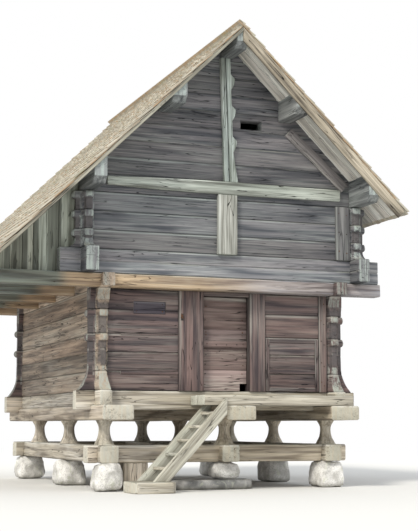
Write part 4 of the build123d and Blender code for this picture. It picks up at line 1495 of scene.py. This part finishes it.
@dataclass
class Base:
    """The base frame: long and cross logs, turned legs, sleepers and sills."""

    stones: Stones = field(default_factory=Stones)
    legs: Legs = field(default_factory=Legs)

    def build(self) -> None:
        """Build the stones and dress the timbers over them."""
        self.stones.build()
        for node, along in (
            ("long_base_logs", Along.Y),
            ("cross_base_logs", Along.X),
            ("sleepers", Along.Y),
            ("cross_sills", Along.X),
            ("long_sills", Along.Y),
        ):
            HewnPiece(node, BASE_TIMBER, "base_timber", along, arris=0.012, waver=0.016).build()
        self.legs.build()
        HewnPiece("foot_blocks", BASE_TIMBER, "base_timber", None, arris=0.02, waver=0.012).build()


def knob_heights(
    start: float, courses: Sequence[float], count: int, plain: int, radius: float
) -> tuple[float, ...]:
    """The middles of a wall's knobs, each just under the top of its log.

    Args:
        start: The height of the wall's foot.
        courses: The logs' heights from the bottom to the top.
        count: How many logs have a knob.
        plain: How many logs at the top have none.
        radius: The knobs' radius.

    Returns:
        Their heights.
    """
    seams = stacked(start, courses)
    last = len(courses) - plain
    return tuple(seams[number] - radius for number in range(last - count + 1, last + 1))


@dataclass
class Storey:
    """The log walls of one storey, which cross at carved ends."""

    start: float
    courses: tuple[float, ...]
    neck: float  # from the outer face of the crossing wall to the foot of a knob
    knob_count: int
    flare: float  # its height
    block: float = 0.0  # height of the plain foot under the flare
    corbel: float = 9.0  # the level of the corbels over the carved ends
    plain_logs: int = 0  # at the top, without knobs
    knob_radius: float = 0.065
    half_log: float = 0.10

    def wall(
        self, node: str, finish: Finish, slot: str, along: Along, crossing: tuple[str, str],
        courses: tuple[float, ...] = (), tones: tuple[float, ...] = ()
    ) -> bpy.types.Object:
        """Dress one wall.

        Args:
            node: The wall's node.
            finish: Its finish.
            slot: The record's material slot, passed on to the wall; it is not used.
            along: The direction of its logs.
            crossing: The nodes of the walls that it crosses, at its low and its high end.
            courses: Its courses, where they differ from the storey's.
            tones: The tones of its courses from the bottom up, where they aren't random.

        Returns:
            The dressed wall.
        """
        low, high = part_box(node)
        axis = along.value
        faces = (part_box(crossing[0])[0][axis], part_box(crossing[1])[1][axis])
        foot = self.start + self.block
        knobs = knob_heights(self.start, self.courses, self.knob_count, self.plain_logs, self.knob_radius)
        return LogWall(
            node, finish, slot, along, levels=stacked(self.start, courses or self.courses), tones=tones,
            middle=(low[1 - axis] + high[1 - axis]) / 2, faces=faces, neck=self.neck,
            flare=(foot, foot + self.flare), corbel=self.corbel, knobs=knobs,
            knob_radius=self.knob_radius, half_log=self.half_log
        ).build()


@dataclass
class LowerStorey(Storey):
    """The walls, posts and floor of the lower storey."""

    start: float = 1.55
    courses: tuple[float, ...] = (0.30, 0.30, 0.29, 0.38, 0.33)
    neck: float = 0.09
    knob_count: int = 2
    flare: float = 0.40
    corbel: float = 2.95
    plain_logs: int = 1
    joist: float = 0.21

    def build(self) -> None:
        """Dress the lower storey's timbers."""
        tall = self.courses + (self.joist,)
        ends = ("front_top_log", "rear_lower_wall")
        sides = ("left_lower_wall", "right_lower_wall")
        for node, finish in zip(sides, (SUNLIT_SIDE_LOG, LOWER_LOG)):
            self.wall(node, finish, "lower_log", Along.Y, ends, tall)
        self.wall("rear_lower_wall", LOWER_LOG, "lower_log", Along.X, sides, tall)
        self.wall("front_lower_wall", LOWER_LOG, "lower_log", Along.X, sides)
        HewnPiece("front_top_log", LOWER_LOG, "lower_log", Along.X).build()
        HewnPiece("door_posts", LOWER_LOG, "lower_log", Along.Z, arris=0.005, waver=0.004, step=0.2).build()
        HewnPiece("door_head", LOWER_LOG, "lower_log", Along.X, arris=0.003, waver=0.003).build()
        HewnPiece(
            "front_hatch", HATCH_BOARD, "lower_log", Along.X, arris=0.003, waver=0.002, step=0.1
        ).build()
        HewnPiece("front_trim", LOWER_LOG, "lower_log", None, arris=0.004, waver=0.003, step=0.2).build()
        Boarded("floors", INNER_BOARD, "boards", Along.X, Along.Y).build()
        HewnPiece("floor_beams", JETTY_TIMBER, "jetty_timber", Along.X, arris=0.010, waver=0.014).build()


@dataclass
class UpperStorey(Storey):
    """The walls, gables, roof timbers and gallery of the upper storey."""

    start: float = 3.36
    courses: tuple[float, ...] = (0.19, 0.19, 0.30, 0.30, 0.30)
    neck: float = 0.075
    knob_count: int = 3
    flare: float = 0.15
    block: float = 0.38
    gable_start: float = 4.64
    gable_log: float = 0.29
    gable_count: int = 9
    gable_top: float = 0.2  # the log under the ridge
    tones: tuple[float, ...] = (1.9, 1.5, 0.3, 0.7, 0.4)  # of the front's and the rear's logs

    def build(self) -> None:
        """Dress the upper storey's timbers."""
        ends = ("front_gable", "rear_gable")
        sides = ("left_upper_wall", "right_upper_wall")
        for node in ("front_upper_wall", "rear_upper_wall"):
            self.wall(node, UPPER_LOG, "upper_log", Along.X, sides, tones=self.tones)
        for node in sides:
            self.wall(node, UPPER_LOG, "upper_log", Along.Y, ends)
        seams = stacked(self.gable_start, (self.gable_log,) * self.gable_count + (self.gable_top,))
        for node in ends:
            low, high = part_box(node)
            middle = (low[1] + high[1]) / 2
            LogWall(node, UPPER_LOG, "upper_log", Along.X, levels=seams, middle=middle).build()
        TieLog("tie_log", TIE_TIMBER, "upper_log", Along.X, arris=0.01, waver=0.024, step=0.16).build()
        KingPosts("king_posts", CARVED_POST, "upper_log", Along.Z, waver=0.008, step=0.15).build()
        for node in ("purlins", "wall_plates", "gallery_plate"):
            HewnPiece(node, PURLIN, "upper_log", Along.Y, arris=0.01, waver=0.012).build()
        HewnPiece("face_planks", FACE_PLANK, "upper_log", None, arris=0.005, waver=0.004, step=0.2).build()
        Boarded(
            "gallery_boarding", PAINTED_PALE_GALLERY_BOARD, "boards", Along.X, Along.Z, least=0.14, gap=0.008,
            uneven=0.008, out=(0, 1, 0)
        ).build()


@dataclass(frozen=True)
class Slope:
    """Where one slope of the roof lies."""

    near: float  # the front verge
    far: float  # the rear verge
    ridge: Vector  # a point on the ridge
    down: Vector  # the direction down the slope
    out: Vector  # the direction square to it


@dataclass(frozen=True)
class Course:
    """Where one course of shakes lies on its slope."""

    butts: float  # the distance of its butts from the ridge
    depth: float  # how deep their undersides lie under the slope's top
    reach: float  # the shakes' length


@dataclass
class Roof:
    """Two slopes of boards and split shakes, with their bargeboards."""

    pitch: float = 44.5
    cover: float = 0.060
    exposure: float = 0.24
    shake_length: float = 0.70
    butt: float = 0.022
    head: float = 0.006
    narrow: float = 0.065
    wide: float = 0.155
    ragged: float = 0.045  # how far the butts of one course lie apart
    verge_jitter: float = 0.045
    twist: float = 0.07  # of a shake about its length, in radians at most
    sunk: float = 0.042  # depth of the second layer at the eaves and at the comb
    laid: float = 0.024  # depth of the courses over them
    set_back: float = 0.004  # of each layer at the eaves
    eaves: tuple[float, float] = (0.30, 0.40)  # length of the shakes in the two layers there
    ridge_course: Course = Course(0.17, 0.0225, 0.17)
    comb: tuple[float, float] = (0.10, 0.13)  # the butts of the two layers at the comb
    comb_reach: float = 0.12
    patterns: int = 6

    def build(self) -> None:
        """Build both slopes."""
        shakes = [self.pattern(number) for number in range(self.patterns)]
        for side, name in ((-1, "left"), (1, "right")):
            self.slope(side, name, shakes)
            out = (side * math.sin(math.radians(self.pitch)), 0, math.cos(math.radians(self.pitch)))
            Boarded(
                f"{name}_roof_deck", SOFFIT_WITH_PAINTED_BOUNCE, "boards", Along.Y, None, least=0.16, most=0.30, gap=0.014,
                uneven=0.012, out=out
            ).build()
            HewnPiece(f"{name}_bargeboards", VERGE_BOARD, "boards", None, arris=0.004, waver=0.006).build()
        drop(shakes)

    def pattern(self, number: int) -> bpy.types.Object:
        """Model one shake, one metre wide and lying along +X from its butt, for copying.

        Args:
            number: The pattern's number, for its random shape.

        Returns:
            The shake.
        """
        draw = random.Random(f"shake{number}")
        piece = block(f"shake_{number}", (0, -0.5, 0), (self.shake_length, 0.5, self.butt))
        slice_at(piece, 1, (-0.5 + draw.uniform(0.25, 0.4), 0.5 - draw.uniform(0.25, 0.4)))
        slice_at(piece, 0, (self.exposure * draw.uniform(0.5, 0.8),))
        for vertex in piece.data.vertices:
            along = vertex.co.x / self.shake_length
            if vertex.co.z > self.butt / 2:
                vertex.co.z = self.butt + (self.head - self.butt) * along + draw.uniform(-0.0025, 0.0025)
            if vertex.co.x < 0.01:
                vertex.co.x += draw.uniform(-0.012, 0.0)
        return piece

    def slope(self, side: int, name: str, shakes: Sequence[bpy.types.Object]) -> bpy.types.Object:
        """Lay the shakes of one slope in courses.

        Args:
            side: -1 for the left slope and 1 for the right one.
            name: The slope's name.
            shakes: The modelled shakes.

        Returns:
            The joined shakes.
        """
        low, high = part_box(f"{name}_roof_cover")
        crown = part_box("left_roof_cover")[1]
        lean = math.radians(self.pitch)
        slope = Slope(
            near=low[1],
            far=high[1],
            ridge=Vector((crown[0], 0, crown[2])),
            down=Vector((side * math.cos(lean), 0, -math.sin(lean))),
            out=Vector((side * math.sin(lean), 0, math.cos(lean))),
        )
        length = (crown[0] - low[0] if side < 0 else high[0] - crown[0]) / math.cos(lean)
        comb = (high[2] - crown[2]) / math.sin(lean)
        draw = random.Random(f"slope{name}")
        copies = []
        for course in self.courses(length, comb):
            reach = min(course.reach, course.butts + comb)
            if reach >= SHORTEST_SHAKE:
                course = Course(course.butts, course.depth, reach)
                copies += self.lay(slope, course, shakes, draw)
        whole = joined(f"{name}_shakes", copies)
        settle(whole, SHAKE, "root", [f"{name}_roof_cover"])
        return whole

    def courses(self, length: float, comb: float) -> list[Course]:
        """List the courses of a slope: two short layers at the eaves, the full courses, and the comb.

        Args:
            length: The slope's length from the ridge to the eaves.
            comb: How far the slope reaches past the ridge.

        Returns:
            The courses in the order in which they are laid.
        """
        courses = [
            Course(length, self.cover, self.eaves[0]),
            Course(length - self.set_back, self.sunk, self.eaves[1]),
        ]
        for number in range(int(length / self.exposure) + 1):
            butts = length - 2 * self.set_back - self.exposure * number
            courses.append(Course(butts, self.laid, self.shake_length))
        courses.append(self.ridge_course)
        if comb > 0.01:
            for butts, depth in zip(self.comb, (self.cover, self.sunk)):
                courses.append(Course(butts, depth, self.comb_reach))
        return courses

    def lay(
        self, slope: Slope, course: Course, shakes: Sequence[bpy.types.Object], draw: random.Random
    ) -> list[bpy.types.Object]:
        """Lay one course of shakes between the verges.

        Args:
            slope: Where the slope lies.
            course: Where the course lies on it.
            shakes: The modelled shakes.
            draw: The source of random values.

        Returns:
            The laid shakes.
        """
        down, out = slope.down, slope.out
        laid = []
        place = slope.near + draw.uniform(0, self.verge_jitter)
        last = slope.far - draw.uniform(0, self.verge_jitter)
        while place < last - SHORTEST_SHAKE:
            width = min(draw.uniform(self.narrow, self.wide), last - place)
            butt = course.butts - draw.uniform(0, self.ragged if course.reach > 0.3 else 0.01)
            length = course.reach - (course.butts - butt)
            rise = self.cover - course.depth
            fall = math.atan2(rise, max(length, 0.3)) if rise > 0 else 0.0
            up_slope = -down * math.cos(fall) - out * math.sin(fall)
            face = out * math.cos(fall) - down * math.sin(fall)
            across = face.cross(up_slope)
            twist = Matrix.Rotation(draw.uniform(-self.twist, self.twist), 3, up_slope)
            scale = (length / self.shake_length, width - draw.uniform(0.002, 0.007), 1.0)
            sides = (up_slope * scale[0], twist @ across * scale[1], twist @ face * scale[2])
            start = slope.ridge + down * butt - out * (course.depth + draw.uniform(0, 0.0015))
            matrix = Matrix(sides).transposed().to_4x4()
            matrix.translation = (start.x, place + width / 2, start.z)
            pattern = draw.choice(shakes)
            twin = copied(pattern, matrix)
            self.mark(pattern, twin, scale, draw)
            laid.append(twin)
            place += width
        return laid

    def mark(
        self, pattern: bpy.types.Object, twin: bpy.types.Object, scale: Point, draw: random.Random
    ) -> None:
        """Store a shake's own coordinates for its finish.

        Args:
            pattern: The shake that was copied.
            twin: The copy.
            scale: The copy's scale.
            draw: The source of random values.
        """
        mesh = twin.data
        first, second = draw.random(), draw.random()
        grain, marks = [], []
        for corner in mesh.loops:
            spot = pattern.data.vertices[corner.vertex_index].co
            grain += [spot.x * scale[0] + 30 * first, spot.y * scale[1] + 3 * second, spot.z]
            marks += [first, second, max(spot.x, 0.0) * scale[0]]
        store(mesh, "grain", grain)
        store(mesh, "log", marks)


@dataclass
class Ironwork:
    """Forged nails on the door, its frame and the planks, and a latch on the left post."""

    head: float = 0.011
    rise: float = 0.006
    door_levels: tuple[float, ...] = (0.10, 0.27, 0.42, 0.58, 0.90, 0.95, 1.15, 1.38)  # over the door's foot
    ledge_level: float = 0.755
    ledge_places: tuple[float, ...] = (0.08, 0.24, 0.42, 0.60, 0.71)  # from the door's left edge
    trim_levels: tuple[float, ...] = (1.66, 1.98, 2.34, 2.68, 3.02)
    plank_levels: tuple[float, ...] = (3.86, 4.18, 4.50)
    latch_level: float = 2.73
    plate: tuple[float, float] = (0.022, 0.055)  # half its width and half its height
    ledge: float = 0.022  # how far the door's boards lie behind its ledge

    def build(self) -> None:
        """Drive the nails and fix the latch."""
        nail = self.nail()
        self.drive(nail, "door_nails", "door", self.door_spots())
        self.drive(nail, "forged_nails", "root", self.wall_spots())
        drop([nail])
        self.latch()

    def nail(self) -> bpy.types.Object:
        """Model one nail head, facing the front.

        Returns:
            The nail head, at the origin.
        """
        deselect()
        bpy.ops.mesh.primitive_cylinder_add(vertices=7, radius=self.head, depth=self.rise)
        piece = bpy.context.object
        piece.name = "nail"
        inset(piece, axis_line(2), self.head * 0.4, self.rise * 0.5)
        flatter = Matrix.Diagonal((1.0, 0.85, 1.0, 1.0))
        piece.data.transform(Matrix.Rotation(math.radians(90), 4, "X") @ flatter)
        return piece

    def door_spots(self) -> list[Point]:
        """The nails of the door's level boards and of its ledge."""
        low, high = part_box("door_leaf")
        draw = random.Random("door nails")
        face = low[1] + self.ledge
        spots = []
        for level in self.door_levels:
            for place in (low[0] + 0.06, high[0] - 0.07):
                if level > 0.15 or place < high[0] - 0.2:
                    x = place + draw.uniform(-0.01, 0.01)
                    spots.append((x, face, low[2] + level + draw.uniform(-0.01, 0.01)))
        for place in self.ledge_places:
            level = low[2] + self.ledge_level + draw.uniform(-0.012, 0.012)
            spots.append((low[0] + place, low[1], level))
        return spots

    def wall_spots(self) -> list[Point]:
        """The nails of the wall's trim, of the hatch and of the upright plank."""
        spots = []
        low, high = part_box("front_hatch")
        for place in (low[0] + 0.05, high[0] - 0.05):
            for level in (low[2] + 0.04, high[2] - 0.04):
                spots.append((place, low[1], level))
        low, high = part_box("front_trim")
        for level in self.trim_levels:
            spots.append((high[0] - 0.05, low[1], level))
            spots.append((high[0] - 0.10, low[1], level + 0.06))
        low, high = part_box("face_planks")
        for level in self.plank_levels:
            spots.append((high[0] - 0.06, low[1], level))
            spots.append((high[0] - 0.20, low[1], level + 0.03))
        return spots

    def drive(
        self, nail: bpy.types.Object, name: str, body: str, spots: Sequence[Point]
    ) -> bpy.types.Object:
        """Copy the nail to its places.

        Args:
            nail: The modelled nail.
            name: The name of the joined nails.
            body: The frame body that they move with.
            spots: The nails' places on the wood's face.

        Returns:
            The joined nails.
        """
        draw = random.Random(name)
        copies = []
        for x, y, z in spots:
            turn = Matrix.Rotation(draw.uniform(0, math.tau), 4, "Y")
            size = Matrix.Scale(draw.uniform(0.8, 1.15), 4)
            copies.append(copied(nail, Matrix.Translation((x, y - self.rise * 0.2, z)) @ turn @ size))
        whole = joined(name, copies)
        settle(whole, IRON, body)
        return whole

    def latch(self) -> bpy.types.Object:
        """Model the latch: a plate with a bent staple on the left post.

        Returns:
            The latch.
        """
        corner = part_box("door_posts")[0]
        x, y, z = corner[0] + 0.06, corner[1], self.latch_level
        wide, tall = self.plate
        plate = block("plate", (x - wide, y - 0.004, z - tall), (x + wide, y + 0.001, z + tall))
        inset(plate, -axis_line(1), 0.006, 0.002)
        deselect()
        bpy.ops.mesh.primitive_torus_add(
            major_segments=20, minor_segments=6, major_radius=0.026, minor_radius=0.004,
            location=(x, y - 0.012, z - 0.012), rotation=(math.radians(78), 0, 0)
        )
        ring = bpy.context.object
        bpy.ops.object.transform_apply(location=True, rotation=True, scale=True)
        whole = joined("latch", [plate, ring])
        smooth(whole)
        settle(whole, IRON, "root")
        return whole


@dataclass
class Entrance:
    """The door with its ironwork, the landing and the stair."""

    ironwork: Ironwork = field(default_factory=Ironwork)
    door_foot: float = 1.56
    boards: tuple[float, ...] = (0.18, 0.16, 0.33, 0.13, 0.31, 0.45)  # the door's, from the bottom up
    tones: tuple[float, ...] = (2.4, 0.9, 0.55, 0.75, 0.55, 0.5)

    def build(self) -> None:
        """Dress the door, the landing and the stair."""
        HewnPiece(
            "door_leaf", DOOR_BOARD, "door_wood", Along.X, body="door", arris=0.003, waver=0.003, step=0.2,
            levels=stacked(self.door_foot, self.boards), tones=self.tones
        ).build()
        for node in ("door_straps", "door_pintles"):
            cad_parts[node].data.materials.clear()
            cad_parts[node].data.materials.append(IRON.material())
        self.ironwork.build()
        HewnPiece("landing", WORN_PLANK, "plank", Along.X, arris=0.014, waver=0.016).build()
        HewnPiece("stair_stringers", WORN_PLANK, "plank", None, arris=0.008, waver=0.008, step=0.12).build()
        HewnPiece("stair_treads", WORN_PLANK, "plank", Along.Y, arris=0.008, waver=0.006, step=0.1).build()


# The stage


@dataclass
class Studio:
    """A pale floor, soft light and the camera at the photograph's angle."""

    eye: Point = (-6.987, -21.988, 1.00)
    turn: float = 20.867
    lift: float = 7.116
    lens: float = 87.08
    floor_size: float = 400.0
    sky: float = 0.92
    sun: float = 2.25
    sun_height: float = 40.0
    sun_turn: float = -53.0

    def build(self) -> None:
        """Set up the view, the floor, the light and the camera."""
        bpy.context.scene.view_settings.view_transform = "Standard"
        self.floor()
        self.light()
        self.camera()

    def background(
        self, tree: bpy.types.NodeTree, lit: bpy.types.NodeSocket, bright: bpy.types.NodeSocket
    ) -> bpy.types.NodeSocket:
        """Show one shader to the camera and to reflections, and the other to the light.

        Args:
            tree: The node tree.
            lit: The shader that the light sees.
            bright: The shader that the camera and reflections see.

        Returns:
            The mixed shader.
        """
        path = tree.nodes.new("ShaderNodeLightPath")
        seen = path.outputs["Is Camera Ray"]
        for other in ("Is Glossy Ray", "Is Transmission Ray"):
            either = tree.nodes.new("ShaderNodeMath")
            either.operation = "MAXIMUM"
            tree.links.new(seen, either.inputs[0])
            tree.links.new(path.outputs[other], either.inputs[1])
            seen = either.outputs[0]
        mix = tree.nodes.new("ShaderNodeMixShader")
        tree.links.new(seen, mix.inputs[0])
        tree.links.new(lit, mix.inputs[1])
        tree.links.new(bright, mix.inputs[2])
        return mix.outputs[0]

    def floor(self) -> None:
        """Lay the pale floor, which fades to white far from the building."""
        deselect()
        bpy.ops.mesh.primitive_plane_add(size=self.floor_size, location=(0, 0, 0))
        floor = bpy.context.object
        floor.name = "floor"
        s = Shading("pale_floor")
        matt = s.node("ShaderNodeBsdfDiffuse")
        matt.inputs["Color"].default_value = (0.80, 0.79, 0.76, 1)
        glow = s.node("ShaderNodeEmission")
        glow.inputs["Color"].default_value = (1, 1, 1, 1)
        reach = s.node("ShaderNodeVectorMath", operation="LENGTH")
        s.feed(reach.inputs[0], s.spot())
        fade = s.ramp(reach.outputs["Value"], 7.0, 30.0)
        far = s.node("ShaderNodeMixShader")
        s.feed(far.inputs[0], fade)
        s.feed(far.inputs[1], matt.outputs[0])
        s.feed(far.inputs[2], glow.outputs[0])
        out = s.node("ShaderNodeOutputMaterial")
        s.feed(out.inputs["Surface"], self.background(s.tree, matt.outputs[0], far.outputs[0]))
        floor.data.materials.append(s.stuff)

    def light(self) -> None:
        """Light the building with a soft sky and one broad sun."""
        world = bpy.data.worlds.new("sky")
        bpy.context.scene.world = world
        world.use_nodes = True
        tree = world.node_tree
        tree.nodes.clear()
        sky = tree.nodes.new("ShaderNodeBackground")
        sky.inputs["Color"].default_value = (0.93, 0.96, 1.0, 1)
        sky.inputs["Strength"].default_value = self.sky
        white = tree.nodes.new("ShaderNodeBackground")
        white.inputs["Color"].default_value = (1, 1, 1, 1)
        out = tree.nodes.new("ShaderNodeOutputWorld")
        tree.links.new(self.background(tree, sky.outputs[0], white.outputs[0]), out.inputs["Surface"])
        deselect()
        bpy.ops.object.light_add(type="SUN", location=(0, 0, 20))
        sun = bpy.context.object
        sun.data.energy = self.sun
        sun.data.angle = math.radians(14)
        sun.data.color = (1.0, 0.96, 0.88)
        sun.rotation_euler = (math.radians(90 - self.sun_height), 0, math.radians(self.sun_turn))

    def camera(self) -> None:
        """Set the camera where the photograph was taken from."""
        deselect()
        bpy.ops.object.camera_add(location=self.eye)
        camera = bpy.context.object
        camera.rotation_euler = (math.radians(90 + self.lift), 0, math.radians(-self.turn))
        camera.data.sensor_fit = "AUTO"
        camera.data.sensor_width = 36.0
        camera.data.lens = self.lens
        camera.data.clip_end = 500
        bpy.context.scene.camera = camera


def main() -> None:
    """Build every sub-assembly in order and note the sizes."""
    logging.basicConfig(level=logging.INFO, format="%(name)s %(message)s")
    Studio().build()
    for part in (Base(), LowerStorey(), UpperStorey(), Roof(), Entrance()):
        part.build()
        log.info("%s is built", type(part).__name__)


if __name__ == "__main__":
    main()
